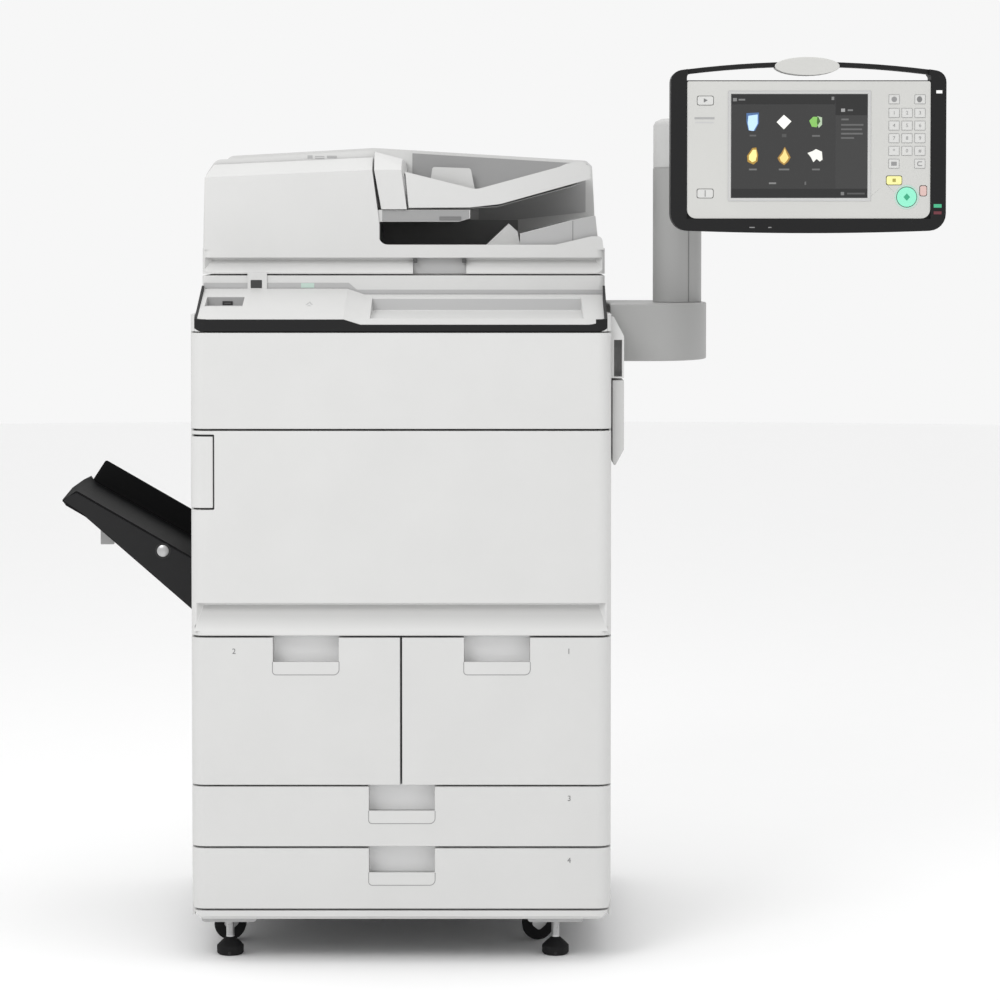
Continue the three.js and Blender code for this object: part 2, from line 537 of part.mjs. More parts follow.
// The tray that holds the originals: a platform between a front side plate and the rear housing.
function documentTray() {
  const sidePlate = prism('y', [
    [8.3, 1168.8], [106, 1169.3], [154, 1174.7, 60], [297.4, 1214.7], [297.4, 1234, 6],
    [284, 1242.5, 5], [259.6, 1239, 3], [248.4, 1234], [115.6, 1198, 30], [2.8, 1226],
  ], 197, 204.5);
  const platform = prism('y', [
    [10, 1188], [116, 1182], [292, 1219], [292, 1227], [116, 1190], [10, 1196],
  ], 203, 508);
  const ribs = union(...[250, 360, 470].map((y) => prism('y', [
    [106, 1169.5], [150, 1172], [280, 1208], [280, 1218], [116, 1184], [106, 1184],
  ], y, y + 6)));
  return union(sidePlate, platform, ribs);
}

const GUIDE_SPAN = { front: 216, rear: 500, thickness: 4, foot: 34 };

function guide(plateY, footY) {
  const plate = prism('y', [[40, 1194.8], [46, 1234, 4], [107, 1232, 5], [115, 1190.7]], plateY, plateY + GUIDE_SPAN.thickness);
  const foot = prism('y', [
    [46, 1194.4], [110, 1190.8], [110, 1193.8], [46, 1197.4],
  ], Math.min(plateY, footY), Math.max(plateY, footY));
  return union(plate, foot);
}

const PICKUP = { x: -22, z: 1199, radius: 15, shaft: 5 };

function pickupRoller() {
  return turned('y', [
    [0, 290], [PICKUP.shaft, 290], [PICKUP.shaft, 300], [PICKUP.radius, 300], [PICKUP.radius, 420],
    [PICKUP.shaft, 420], [PICKUP.shaft, 518.5], [0, 518.5],
  ], [PICKUP.x, 0, PICKUP.z], 20);
}

function platenPad() {
  return box(-305, 305, 218, 676, 1061.6, 1067);
}

// ---- paper trays on the sides ---------------------------------------------------------------

const EXIT_TRAY = { y0: 165, y1: 595, wall: 5, tipX: -541.6, tipZ: 704.3, slope: 0.563, mountX: -325 };

function exitTray() {
  const rise = (x) => EXIT_TRAY.slope * (x - EXIT_TRAY.tipX);
  const floorAtMount = EXIT_TRAY.tipZ - rise(EXIT_TRAY.mountX);
  const side = (extra) => [
    [EXIT_TRAY.tipX, EXIT_TRAY.tipZ], [-511.4, 683.6], [EXIT_TRAY.mountX, 521],
    [EXIT_TRAY.mountX, 608 + extra], [-519, 719.9 + extra, 4],
  ];
  const floor = prism('y', [
    [EXIT_TRAY.tipX, EXIT_TRAY.tipZ], [-536, 696], [EXIT_TRAY.mountX, floorAtMount - 9],
    [EXIT_TRAY.mountX, floorAtMount],
  ], EXIT_TRAY.y0, EXIT_TRAY.y1);
  const frontWall = prism('y', side(0), EXIT_TRAY.y0, EXIT_TRAY.y0 + EXIT_TRAY.wall);
  const rearWall = prism('y', side(19), EXIT_TRAY.y1 - EXIT_TRAY.wall, EXIT_TRAY.y1);
  const flange = box(EXIT_TRAY.mountX - 4, EXIT_TRAY.mountX, EXIT_TRAY.y0, EXIT_TRAY.y1, 521, 608);
  const lip = hull([[EXIT_TRAY.y0 + 2, 1], [300, 10], [460, 11], [570, 9]].flatMap(([y, height]) => [
    [EXIT_TRAY.tipX, y, EXIT_TRAY.tipZ - 2], [EXIT_TRAY.tipX, y, EXIT_TRAY.tipZ + height],
    [EXIT_TRAY.tipX + 12, y, EXIT_TRAY.tipZ - 9],
  ]));
  return union(floor, frontWall, rearWall, flange, lip);
}

function bypassTray() {
  return prism('y', [
    [326.5, 777], [329, 770], [331.5, 770], [344.5, 794], [344.5, 901.5], [326.5, 901.5],
  ], 30, 452);
}

// ---- imaging rollers ------------------------------------------------------------------------

const TONER = { x: -60, z: 900, radius: 46 };
const ROLLERS = [
  { name: 'drum', finish: 'drum_green', x: 20, z: 690, radius: 42, shaft: 8 },
  { name: 'fuser_roller', finish: 'black_plastic', x: -250, z: 687.4, radius: 30, shaft: 7 },
  { name: 'pressure_roller', finish: 'rubber', x: -250, z: 626.6, radius: 30, shaft: 7 },
];

function roller({ x, z, radius, shaft }) {
  return turned('y', [
    [0, 50], [shaft, 50], [shaft, 140], [radius, 140], [radius, 565], [shaft, 565], [shaft, 686.5], [0, 686.5],
  ], [x, 0, z], 24);
}

function tonerBottle() {
  return turned('y', [
    [0, 40], [26, 40], [28, 44], [28, 56], [TONER.radius, 62], [TONER.radius, 556], [24, 562], [24, 580], [0, 580],
  ], [TONER.x, 0, TONER.z]);
}

// ---- control panel and its arm --------------------------------------------------------------

const COLUMN = { x: 438, y: 235, halfX: 38.5, halfY: 44, radius: 36 };
const ARM_BASE = { z0: 928, z1: 1018, straight: 395 };
const HEAD_Z = 1232.5;

function armBase() {
  const { straight, z0, z1 } = ARM_BASE;
  const outline = [
    [HALF_WIDTH + 0.6, 365], [HALF_WIDTH + 0.6, 105],
    ...ringPoints(90, 130, [straight, COLUMN.y], 16, -Math.PI / 2, Math.PI / 2),
  ];
  return prism('z', outline, z0, z1);
}

function armColumn() {
  const { x, y, halfX, halfY, radius } = COLUMN;
  return prism('z', [
    [x - halfX, y - halfY, radius], [x + halfX, y - halfY, radius],
    [x + halfX, y + halfY, radius], [x - halfX, y + halfY, radius],
  ], ARM_BASE.z1 + TOUCH, HEAD_Z - TOUCH);
}

const PANEL = { x0: 412, x1: 831, front: -42, back: 0, z0: 1129, sag: 3.6, middle: 621.5 };
const TILT = { y: 32, z: 1262, barrel: 15, pin: 5, halfBarrel: 35, earGap: 2, ear: 12 };

// The head turns on the column and carries the tilt hinge behind the middle of the panel.
function armHead() {
  const head = turned('z', [[0, HEAD_Z], [38.4, HEAD_Z], [38.4, 1300], [35, 1307], [26, 1311], [0, 1313]], [COLUMN.x, COLUMN.y, 0], 32);
  const link = hull([1245, 1279].flatMap((z) => [
    ...ringPoints(30, 30, [COLUMN.x, COLUMN.y], 16).map(([x, y]) => [x, y, z]),
    ...ringPoints(24, 16, [PANEL.middle, 52], 16).map(([x, y]) => [x, y, z]),
  ]));
  const barrel = cylinder('x', TILT.barrel, -TILT.halfBarrel, TILT.halfBarrel, [PANEL.middle, TILT.y, TILT.z], 20);
  const pinHalf = TILT.halfBarrel + TILT.earGap + TILT.ear;
  const pin = cylinder('x', TILT.pin, -pinHalf, pinHalf, [PANEL.middle, TILT.y, TILT.z], 16);
  return union(head, link, barrel, pin);
}

const FACE = { x0: 436.8, x1: 807.2, z0: 1151.3, z1: 1360, front: -40.5, back: -37 };
const ARCH = { top: 1389.8, curve: 3.41e-4, thickness: 7.2, y0: -34, y1: -14, middle: 619.5 };

// Height of the panel's arched top edge at a place across the panel.
function archZ(x) {
  return ARCH.top - ARCH.curve * (x - ARCH.middle) ** 2;
}

// The lower edge sags slightly to the middle and the upper edge is an arch.
function panelOutline() {
  const { x0, x1, z0, sag, middle } = PANEL;
  const steps = 14;
  const across = (from, to) => Array.from({ length: steps + 1 }, (_, i) => from + ((to - from) * i) / steps);
  const lowZ = (x) => z0 + sag * ((x - middle) / 185) ** 2;
  const low = across(x0 + 30, x1 - 30).map((x) => [x, lowZ(x)]);
  const high = across(x1 - 24, x0 + 24).map((x) => [x, archZ(x)]);
  return [
    [x0, lowZ(x0), 26], ...low, [x1, lowZ(x1), 26],
    [x1, archZ(x1) - 0.5, 18], ...high, [x0, archZ(x0) - 0.5, 18],
  ];
}

function panelWindow() {
  const x0 = FACE.x0 - TOUCH;
  const x1 = FACE.x1 + TOUCH;
  const low = FACE.z1 + 1.5;
  const steps = 14;
  const underside = Array.from({ length: steps + 1 }, (_, i) => {
    const x = x1 - 9 + ((x0 - x1 + 18) * i) / steps;
    return [x, archZ(x) - ARCH.thickness];
  });
  return [
    [x0, low], [x1, low], [x1, archZ(x1) - ARCH.thickness, 6],
    ...underside, [x0, archZ(x0) - ARCH.thickness, 6],
  ];
}

function panelHousing() {
  const { x0, x1, front, back } = PANEL;
  const shell = prism('y', panelOutline(), front, back);
  const faceRecess = box(
    FACE.x0 - TOUCH, FACE.x1 + TOUCH, front - 1, FACE.back + TOUCH, FACE.z0 - TOUCH, FACE.z1 + 1.6,
  );
  const inside = box(FACE.x0 + 5, FACE.x1 - 5, -40, back - 4, FACE.z0 + 5, FACE.z1 - 3);
  const opening = prism('y', panelWindow(), front - 1, back + 1);
  const thinning = union(
    box(x0 + 26, x1 - 26, front - 1, ARCH.y0, FACE.z1 + 1.5, 1400),
    box(x0 + 26, x1 - 26, ARCH.y1, back + 1, FACE.z1 + 1.5, 1400),
  );
  const earCentres = [-1, 1].map((side) => PANEL.middle + side * (TILT.halfBarrel + TILT.earGap + TILT.ear / 2));
  const ears = earCentres.map((x) => hull([-TILT.ear / 2, TILT.ear / 2].flatMap((dx) => [
    [x + dx, back - 2, TILT.z - 34], [x + dx, back - 2, TILT.z + 34],
    ...ringPoints(16, 16, [TILT.y, TILT.z], 16).map(([y, z]) => [x + dx, y, z]),
  ])));
  const pinHole = cylinder('x', TILT.pin + 0.6, -60, 60, [PANEL.middle, TILT.y, TILT.z], 16);
  const frame = shell.subtract(faceRecess).subtract(inside).subtract(opening).subtract(thinning);
  return union(frame, ...ears.map((ear) => ear.subtract(pinHole)));
}

const GRIP = { halfX: 49.5, halfZ: 14, z: 1383, y0: -40, y1: -8 };

function panelGrip() {
  const outline = ringPoints(GRIP.halfX, GRIP.halfZ, [ARCH.middle, GRIP.z], 28);
  const sleeve = prism('y', outline, GRIP.y0, GRIP.y1);
  const half = GRIP.halfX + 6;
  const tunnel = box(
    ARCH.middle - half, ARCH.middle + half, ARCH.y0 - 0.6, ARCH.y1 + 0.6,
    archZ(ARCH.middle + half) - ARCH.thickness - 0.6, ARCH.top + 0.6,
  );
  return sleeve.subtract(tunnel);
}

const SCREEN = { x0: 503.3, x1: 712.1, z0: 1182.2, z1: 1341.1 };
const KEYPAD = { x: 751.6, dx: 19.7, z: 1311.8, dz: -19.2, halfX: 7.5, halfZ: 6.5 };
const KEY_TRAVEL_ROOM = 2;
const KEY_GAP = 0.8;

function keySpots() {
  const digits = [0, 1, 2, 3].flatMap((row) => [0, 1, 2].map((column) => [
    KEYPAD.x + column * KEYPAD.dx, KEYPAD.z + row * KEYPAD.dz,
  ]));
  const functions = [1332.5, 1234.7].flatMap((z) => [KEYPAD.x, KEYPAD.x + 2 * KEYPAD.dx].map((x) => [x, z]));
  return [...digits, ...functions];
}

const LEFT_KEYS = [[464.5, 1330.6], [464.5, 1189.4]];
const LEFT_KEY = { halfX: 12, halfZ: 6.5 };
const START = { x: 771.3, z: 1184, radius: 15 };
const STOP = { x: 796.5, z: 1193.5, halfX: 5, halfZ: 7.5 };
const RESET = { x: 752, z: 1209.4, halfX: 11.5, halfZ: 6.5 };

function keyTop(x, z, halfX, halfZ, grow = 0) {
  return prism('y', [
    [x - halfX - grow, z - halfZ - grow, 3], [x + halfX + grow, z - halfZ - grow, 3],
    [x + halfX + grow, z + halfZ + grow, 3], [x - halfX - grow, z + halfZ + grow, 3],
  ], grow ? -50 : FACE.front - 0.8, grow ? -30 : FACE.back + 1);
}

function panelFace() {
  let face = prism('y', [
    [FACE.x0, FACE.z0, 14], [FACE.x1, FACE.z0, 14], [FACE.x1, FACE.z1, 3], [FACE.x0, FACE.z1, 3],
  ], FACE.front, FACE.back);
  face = face.subtract(box(SCREEN.x0 - 0.5, SCREEN.x1 + 0.5, -50, -30, SCREEN.z0 - 0.5, SCREEN.z1 + 0.5));
  for (const [x, z] of keySpots()) {
    face = face.subtract(box(
      x - KEYPAD.halfX - KEY_GAP, x + KEYPAD.halfX + KEY_GAP, -50, -30,
      z - KEYPAD.halfZ - KEY_GAP, z + KEYPAD.halfZ + KEY_GAP,
    ));
  }
  for (const [x, z] of LEFT_KEYS) {
    face = face.subtract(keyTop(x, z, LEFT_KEY.halfX, LEFT_KEY.halfZ, KEY_GAP));
  }
  face = face.subtract(keyTop(STOP.x, STOP.z, STOP.halfX, STOP.halfZ, KEY_GAP));
  face = face.subtract(keyTop(RESET.x, RESET.z, RESET.halfX, RESET.halfZ, KEY_GAP));
  return face.subtract(cylinder('y', START.radius + KEY_GAP, -50, -30, [START.x, 0, START.z]));
}

// Key tops that share one silicone mat behind the face.
function keypad() {
  const tops = keySpots().map(([x, z]) => box(
    x - KEYPAD.halfX, x + KEYPAD.halfX, FACE.front - 0.8, FACE.back + 1, z - KEYPAD.halfZ, z + KEYPAD.halfZ,
  ));
  const mat = box(742, 801, FACE.back + TOUCH, FACE.back + KEY_TRAVEL_ROOM, 1226, 1341);
  return union(mat, ...tops);
}

function leftKeys() {
  const tops = LEFT_KEYS.map(([x, z]) => keyTop(x, z, LEFT_KEY.halfX, LEFT_KEY.halfZ));
  const mat = box(449, 480, FACE.back + TOUCH, FACE.back + KEY_TRAVEL_ROOM, 1182, 1338);
  return union(mat, ...tops);
}

// ---- feet and casters -----------------------------------------------------------------------

const FOOT_ROWS = [{ name: 'front', y: 70 }, { name: 'rear', y: 640 }];
const FOOT_COLUMNS = [{ name: 'left', x: -269.5 }, { name: 'right', x: 240 }];
const CASTER_ROWS = [{ name: 'front', y: 176 }, { name: 'rear', y: 546 }];
const CASTER_COLUMNS = [{ name: 'left', x: -252 }, { name: 'right', x: 239 }];
const CASTER = { trail: 25, radius: 25, clearance: 1.5, halfWidth: 12, cheek: 3, axle: 4 };

// A levelling foot: a threaded stem in a conical pad.
function foot(x, y) {
  return turned('z', [
    [0, 0], [18, 0], [21, 3], [21, 14], [14, 21], [8, 26], [6, 28], [6, FRAME_BOTTOM - TOUCH], [0, FRAME_BOTTOM - TOUCH],
  ], [x, y, 0], 24);
}

function casterFork(x, y) {
  const axleZ = CASTER.clearance + CASTER.radius;
  const wheelX = x - CASTER.trail;
  const plate = cylinder('z', 26, 79, FRAME_BOTTOM - TOUCH, [x, y, 0], 24);
  const cheek = (y0) => prism('y', [
    [x - 22, 80], [wheelX - 9, axleZ, 5], [wheelX + 2, axleZ - 9, 5], [wheelX + 12, axleZ], [x + 20, 80],
  ], y0, y0 + CASTER.cheek);
  const reach = CASTER.halfWidth + 1.5;
  const axle = cylinder('y', CASTER.axle, -reach - 2, reach + 2, [wheelX, y, axleZ], 16);
  return union(plate, cheek(y - reach - CASTER.cheek), cheek(y + reach), axle);
}

function casterWheel(x, y) {
  const { radius, halfWidth, axle, trail, clearance } = CASTER;
  const bore = axle + 0.5;
  return turned('y', [
    [bore, -halfWidth], [radius - 2, -halfWidth], [radius, -halfWidth + 2], [radius, halfWidth - 2],
    [radius - 2, halfWidth], [bore, halfWidth], [bore, -halfWidth],
  ], [x - trail, y, clearance + radius], 28);
}

// ---- the machine ----------------------------------------------------------------------------

add('main_frame', 'sheet_steel', mainFrame());
add('inner_cover', 'dark_grey_plastic', innerCover());
add('base_skirt', 'drawer_white', baseSkirt());
add('left_cover', 'cover_white', leftCover());
add('right_cover', 'cover_white', rightCover());
add('rear_cover', 'cover_white', rearCover());
add('front_door', 'cover_white', frontDoor());
add('toner_cover', 'cover_white', tonerCover());
add('power_switch_cover', 'cover_white', powerSwitchCover());
add('power_switch', 'black_plastic', box(
  SWITCH_X - SWITCH_HALF_X, SWITCH_X + SWITCH_HALF_X, 21, 38, SWITCH_Z - SWITCH_HALF_Z, SWITCH_Z + SWITCH_HALF_Z,
));
for (const drawer of DRAWERS) {
  add(`${drawer.name}_front`, 'drawer_white', drawerFront(drawer));
  add(`${drawer.name}_bin`, 'sheet_steel', drawerBin(drawer));
}
add('top_tray', 'cover_white', topTray());
add('top_trim', 'black_plastic', topTrim());
add('scanner_housing', 'cover_white', scannerHousing());
add('platen_glass', 'clear_glass', platenGlass());
add('scan_carriage', 'black_plastic', scanCarriage());
add('feeder_base', 'cover_white', feederBase());
add('feeder_cover', 'cover_white', feederCover());
add('document_tray', 'cover_white', documentTray());
add('guide_front', 'grey_plastic', guide(GUIDE_SPAN.front, GUIDE_SPAN.front + GUIDE_SPAN.foot));
add('guide_rear', 'grey_plastic', guide(
  GUIDE_SPAN.rear, GUIDE_SPAN.rear + GUIDE_SPAN.thickness - GUIDE_SPAN.foot,
));
add('pickup_roller', 'rubber', pickupRoller());
add('platen_pad', 'pad_white', platenPad());
add('exit_tray', 'black_plastic', exitTray());
add('bypass_tray', 'cover_white', bypassTray());
add('toner_bottle', 'dark_grey_plastic', tonerBottle());
for (const spec of ROLLERS) add(spec.name, spec.finish, roller(spec));
add('arm_base', 'grey_plastic', armBase());
add('arm_column', 'grey_plastic', armColumn());
add('arm_head', 'grey_plastic', armHead());
add('panel_housing', 'black_plastic', panelHousing());
add('panel_face', 'panel_grey', panelFace());
add('panel_grip', 'panel_grey', panelGrip());
add('screen', 'screen_glass', box(SCREEN.x0, SCREEN.x1, -39.5, -33, SCREEN.z0, SCREEN.z1));
add('keypad', 'key_grey', keypad());
add('left_keys', 'key_grey', leftKeys());
add('start_key', 'key_green', cylinder('y', START.radius, FACE.front - 1.2, FACE.back + 1, [START.x, 0, START.z]));
add('stop_key', 'key_red', keyTop(STOP.x, STOP.z, STOP.halfX, STOP.halfZ));
add('reset_key', 'key_yellow', keyTop(RESET.x, RESET.z, RESET.halfX, RESET.halfZ));
for (const row of FOOT_ROWS) {
  for (const column of FOOT_COLUMNS) {
    add(`foot_${row.name}_${column.name}`, 'rubber', foot(column.x, row.y));
  }
}
for (const row of CASTER_ROWS) {
  for (const column of CASTER_COLUMNS) {
    add(`caster_fork_${row.name}_${column.name}`, 'zinc_steel', casterFork(column.x, row.y));
    add(`caster_wheel_${row.name}_${column.name}`, 'rubber', casterWheel(column.x, row.y));
  }
}

// Put the origin in the middle of the underside of the whole machine.
const bounds = new THREE.Box3().setFromObject(machine);
const middle = bounds.getCenter(new THREE.Vector3());
machine.position.set(-middle.x, -middle.y, -bounds.min.z);

export default machine;
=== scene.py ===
"""Looks of a floor-standing office photocopier, built on its fixed CAD frame.

Places are written in millimetres from the middle of the cabinet's front, at the floor: x to the
right, y to the rear, z up. at() turns them into the frame's metres.
"""
import json
import math

import bmesh
import bpy
from mathutils import Matrix, Vector


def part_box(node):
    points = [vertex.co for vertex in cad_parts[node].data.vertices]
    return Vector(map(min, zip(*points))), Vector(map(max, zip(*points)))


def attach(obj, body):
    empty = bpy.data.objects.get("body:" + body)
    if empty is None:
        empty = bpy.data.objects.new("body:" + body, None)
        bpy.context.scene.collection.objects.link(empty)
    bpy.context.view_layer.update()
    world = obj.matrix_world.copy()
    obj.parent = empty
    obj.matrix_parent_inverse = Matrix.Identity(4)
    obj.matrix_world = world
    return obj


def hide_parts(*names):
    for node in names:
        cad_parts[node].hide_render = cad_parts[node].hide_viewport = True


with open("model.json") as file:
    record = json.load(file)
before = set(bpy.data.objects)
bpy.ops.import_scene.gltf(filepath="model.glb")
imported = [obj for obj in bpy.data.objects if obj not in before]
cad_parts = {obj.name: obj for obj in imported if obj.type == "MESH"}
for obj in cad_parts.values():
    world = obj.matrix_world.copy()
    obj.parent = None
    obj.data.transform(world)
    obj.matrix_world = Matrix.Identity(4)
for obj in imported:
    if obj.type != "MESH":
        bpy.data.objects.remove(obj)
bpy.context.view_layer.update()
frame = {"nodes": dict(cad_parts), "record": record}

MM = 0.001
DOOR_LOW, DOOR_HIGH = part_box("front_door")
MIDDLE = (DOOR_LOW.x + DOOR_HIGH.x) / 2
FRONT = DOOR_LOW.y
NODE_BODY = {
    node: body for body, nodes in frame["record"]["behaviour"]["bodies"].items() for node in nodes
}
NODE_SLOT = {part["node"]: part["material_slot"] for part in frame["record"]["subparts"]}


def at(x, y, z):
    return Vector((MIDDLE + x * MM, FRONT + y * MM, z * MM))


def box_mm(node):
    """A CAD node's box as (x0, x1, y0, y1, z0, z1) in the script's millimetres."""
    low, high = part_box(node)
    return (
        (low.x - MIDDLE) / MM, (high.x - MIDDLE) / MM,
        (low.y - FRONT) / MM, (high.y - FRONT) / MM,
        low.z / MM, high.z / MM,
    )


# ---- camera, lights and floor ----------------------------------------------------------------

CAMERA = {"x": 119.6, "y": -5200, "z": 1145, "pitch": 2.153, "lens": 121.89, "shift": (0.0214, -0.15)}


def add_camera():
    camera = bpy.data.objects.new("camera", bpy.data.cameras.new("camera"))
    camera.location = at(CAMERA["x"], CAMERA["y"], CAMERA["z"])
    camera.rotation_euler = (math.radians(90 - CAMERA["pitch"]), 0, 0)
    camera.data.sensor_width = 36
    camera.data.lens = CAMERA["lens"]
    camera.data.shift_x, camera.data.shift_y = CAMERA["shift"]
    bpy.context.scene.collection.objects.link(camera)
    bpy.context.scene.camera = camera


def add_light(name, place, aim, size, power):
    light = bpy.data.lights.new(name, "AREA")
    light.shape = "RECTANGLE"
    light.size, light.size_y = size
    light.energy = power
    lamp = bpy.data.objects.new(name, light)
    lamp.location = at(*place)
    lamp.rotation_euler = (at(*aim) - lamp.location).to_track_quat("-Z", "Y").to_euler()
    bpy.context.scene.collection.objects.link(lamp)


def add_studio():
    scene = bpy.context.scene
    scene.view_settings.view_transform = "Standard"
    world = bpy.data.worlds.new("studio")
    world.use_nodes = True
    world.node_tree.nodes["Background"].inputs["Color"].default_value = (1, 1, 1, 1)
    world.node_tree.nodes["Background"].inputs["Strength"].default_value = 0.93
    scene.world = world
    add_light("key", (-1500, -2600, 3000), (0, 200, 800), (1.6, 1.6), 44)
    add_light("fill", (2400, -3000, 1500), (200, 200, 700), (2.0, 2.6), 5)
    add_light("top", (200, 100, 3600), (100, 300, 0), (2.4, 2.4), 16)
    floor = bmesh.new()
    bmesh.ops.create_circle(floor, cap_ends=True, radius=14, segments=96)
    mesh = bpy.data.meshes.new("floor")
    floor.to_mesh(mesh)
    floor.free()
    slab = bpy.data.objects.new("floor", mesh)
    slab.location = at(0, 300, 0)
    scene.collection.objects.link(slab)
    mesh.materials.append(surface("studio_floor", (250, 250, 250), 0.7, grain=0.02, mottle=0.004))


# ---- materials -------------------------------------------------------------------------------

def linear(tone):
    """An sRGB colour, 0 to 255, as the linear colour that shaders take."""
    def channel(value):
        value /= 255
        return value / 12.92 if value <= 0.04045 else ((value + 0.055) / 1.055) ** 2.4
    return tuple(channel(value) for value in tone) + (1,)


def surface(name, tone, roughness, grain=0.16, grain_mm=0.8, mottle=0.03, metallic=0.0, coat=0.0,
            glow=0.0, gloss=0.5):
    """A material with a fine moulded grain, a broad unevenness of colour and a varying roughness."""
    material = bpy.data.materials.new(name)
    material.use_nodes = True
    nodes = material.node_tree.nodes
    links = material.node_tree.links
    shader = nodes["Principled BSDF"]
    shader.inputs["Metallic"].default_value = metallic
    shader.inputs["Specular IOR Level"].default_value = gloss
    shader.inputs["Coat Weight"].default_value = coat
    shader.inputs["Coat Roughness"].default_value = 0.08
    place = nodes.new("ShaderNodeTexCoord")

    fine = nodes.new("ShaderNodeTexNoise")
    fine.inputs["Scale"].default_value = 1 / (grain_mm * MM)
    fine.inputs["Detail"].default_value = 3
    links.new(place.outputs["Object"], fine.inputs["Vector"])

    broad = nodes.new("ShaderNodeTexNoise")
    broad.inputs["Scale"].default_value = 9
    broad.inputs["Detail"].default_value = 4
    links.new(place.outputs["Object"], broad.inputs["Vector"])

    ramp = nodes.new("ShaderNodeValToRGB")
    colour = linear(tone)
    ramp.color_ramp.elements[0].position = 0.3
    ramp.color_ramp.elements[0].color = tuple(c * (1 - mottle) for c in colour[:3]) + (1,)
    ramp.color_ramp.elements[1].position = 0.7
    ramp.color_ramp.elements[1].color = colour
    links.new(broad.outputs["Fac"], ramp.inputs["Fac"])
    links.new(ramp.outputs["Color"], shader.inputs["Base Color"])

    spread = nodes.new("ShaderNodeMapRange")
    spread.inputs["To Min"].default_value = max(0.02, roughness - 0.07)
    spread.inputs["To Max"].default_value = min(1.0, roughness + 0.07)
    links.new(fine.outputs["Fac"], spread.inputs["Value"])
    links.new(spread.outputs["Result"], shader.inputs["Roughness"])

    bump = nodes.new("ShaderNodeBump")
    bump.inputs["Strength"].default_value = grain
    bump.inputs["Distance"].default_value = 0.1 * MM
    links.new(fine.outputs["Fac"], bump.inputs["Height"])
    links.new(bump.outputs["Normal"], shader.inputs["Normal"])
    if glow:
        links.new(ramp.outputs["Color"], shader.inputs["Emission Color"])
        shader.inputs["Emission Strength"].default_value = glow
    return material


def glass(name, tone):
    material = surface(name, tone, 0.06, grain=0.0, mottle=0.02)
    material.node_tree.nodes["Principled BSDF"].inputs["Transmission Weight"].default_value = 0.85
    return material


COVER = surface("cover_white", (204, 204, 203), 0.5)
DRAWER = surface("drawer_white", (202, 202, 201), 0.52)
BLACK = surface("black_plastic", (14, 14, 15), 0.55, grain=0.25, gloss=0.28)
GREY = surface("grey_plastic", (156, 156, 155), 0.45)
DARK_GREY = surface("dark_grey_plastic", (84, 84, 86), 0.5, grain=0.25)
PANEL_GREY = surface("panel_grey", (195, 195, 192), 0.45)
STEEL = surface("sheet_steel", (150, 152, 155), 0.42, grain=0.05, grain_mm=1.6, mottle=0.12, metallic=0.8)
ZINC = surface("zinc_steel", (190, 190, 190), 0.3, grain=0.05, grain_mm=2.0, mottle=0.15, metallic=0.9)
RUBBER = surface("rubber", (19, 19, 20), 0.8, grain=0.4, grain_mm=0.5, gloss=0.3)
SCREEN_DARK = surface("screen_glass", (34, 34, 38), 0.18, grain=0.0, mottle=0.05, coat=0.6)
CLEAR = glass("clear_glass", (190, 205, 200))
PAD_WHITE = surface("pad_white", (240, 240, 238), 0.85, grain=0.5, grain_mm=1.6)
DRUM_GREEN = surface("drum_green", (47, 110, 99), 0.22, grain=0.0, coat=0.4)
KEY_GREEN = surface("key_green", (134, 216, 186), 0.35, grain=0.05, glow=0.15)
KEY_YELLOW = surface("key_yellow", (236, 232, 158), 0.42, grain=0.05)
KEY_RED = surface("key_red", (208, 178, 172), 0.42, grain=0.05)
KEY_GREY = surface("key_grey", (202, 202, 200), 0.5, grain=0.08)
SLOT_MATERIAL = {
    "cover_white": COVER, "drawer_white": DRAWER, "black_plastic": BLACK, "grey_plastic": GREY,
    "dark_grey_plastic": DARK_GREY, "panel_grey": PANEL_GREY, "sheet_steel": STEEL, "zinc_steel": ZINC,
    "rubber": RUBBER, "screen_glass": SCREEN_DARK, "clear_glass": CLEAR, "pad_white": PAD_WHITE,
    "drum_green": DRUM_GREEN, "key_green": KEY_GREEN, "key_yellow": KEY_YELLOW, "key_red": KEY_RED,
    "key_grey": KEY_GREY,
}


# ---- building pieces -------------------------------------------------------------------------

ROUNDING_ANGLE = math.radians(32)     # only edges sharper than this are rounded


def soften(piece, bevel, segments):
    """Rounded edges, and shading that keeps the flat faces flat."""
    if bevel:
        rounding = piece.modifiers.new("rounding", "BEVEL")
        rounding.width = bevel * MM
        rounding.segments = segments
        rounding.limit_method = "ANGLE"
        rounding.angle_limit = ROUNDING_ANGLE
        rounding.miter_outer = "MITER_ARC"
    shading = piece.modifiers.new("shading", "WEIGHTED_NORMAL")
    shading.keep_sharp = True


def make_piece(name, mesh, material, body, bevel=0.0, segments=3):
    """A finished bmesh as an object that rides on a CAD body."""
    for face in mesh.faces:
        face.smooth = True
    for edge in mesh.edges:
        gentle = len(edge.link_faces) != 2 or edge.calc_face_angle(0) < ROUNDING_ANGLE
        edge.smooth = gentle or bool(bevel)
    data = bpy.data.meshes.new(name)
    mesh.to_mesh(data)
    mesh.free()
    piece = bpy.data.objects.new(name, data)
    data.materials.append(material)
    bpy.context.scene.collection.objects.link(piece)
    soften(piece, bevel, segments)
    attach(piece, body)
    return piece


# Faces on the very outside that step in a little, so that the lamps and vents on them stay inside
# the CAD model's box: node, the y of the face, and how far it moves.
SETBACK = {
    "panel_housing": (box_mm("panel_housing")[2], 0.5),
    "rear_cover": (box_mm("rear_cover")[3], -0.8),
}


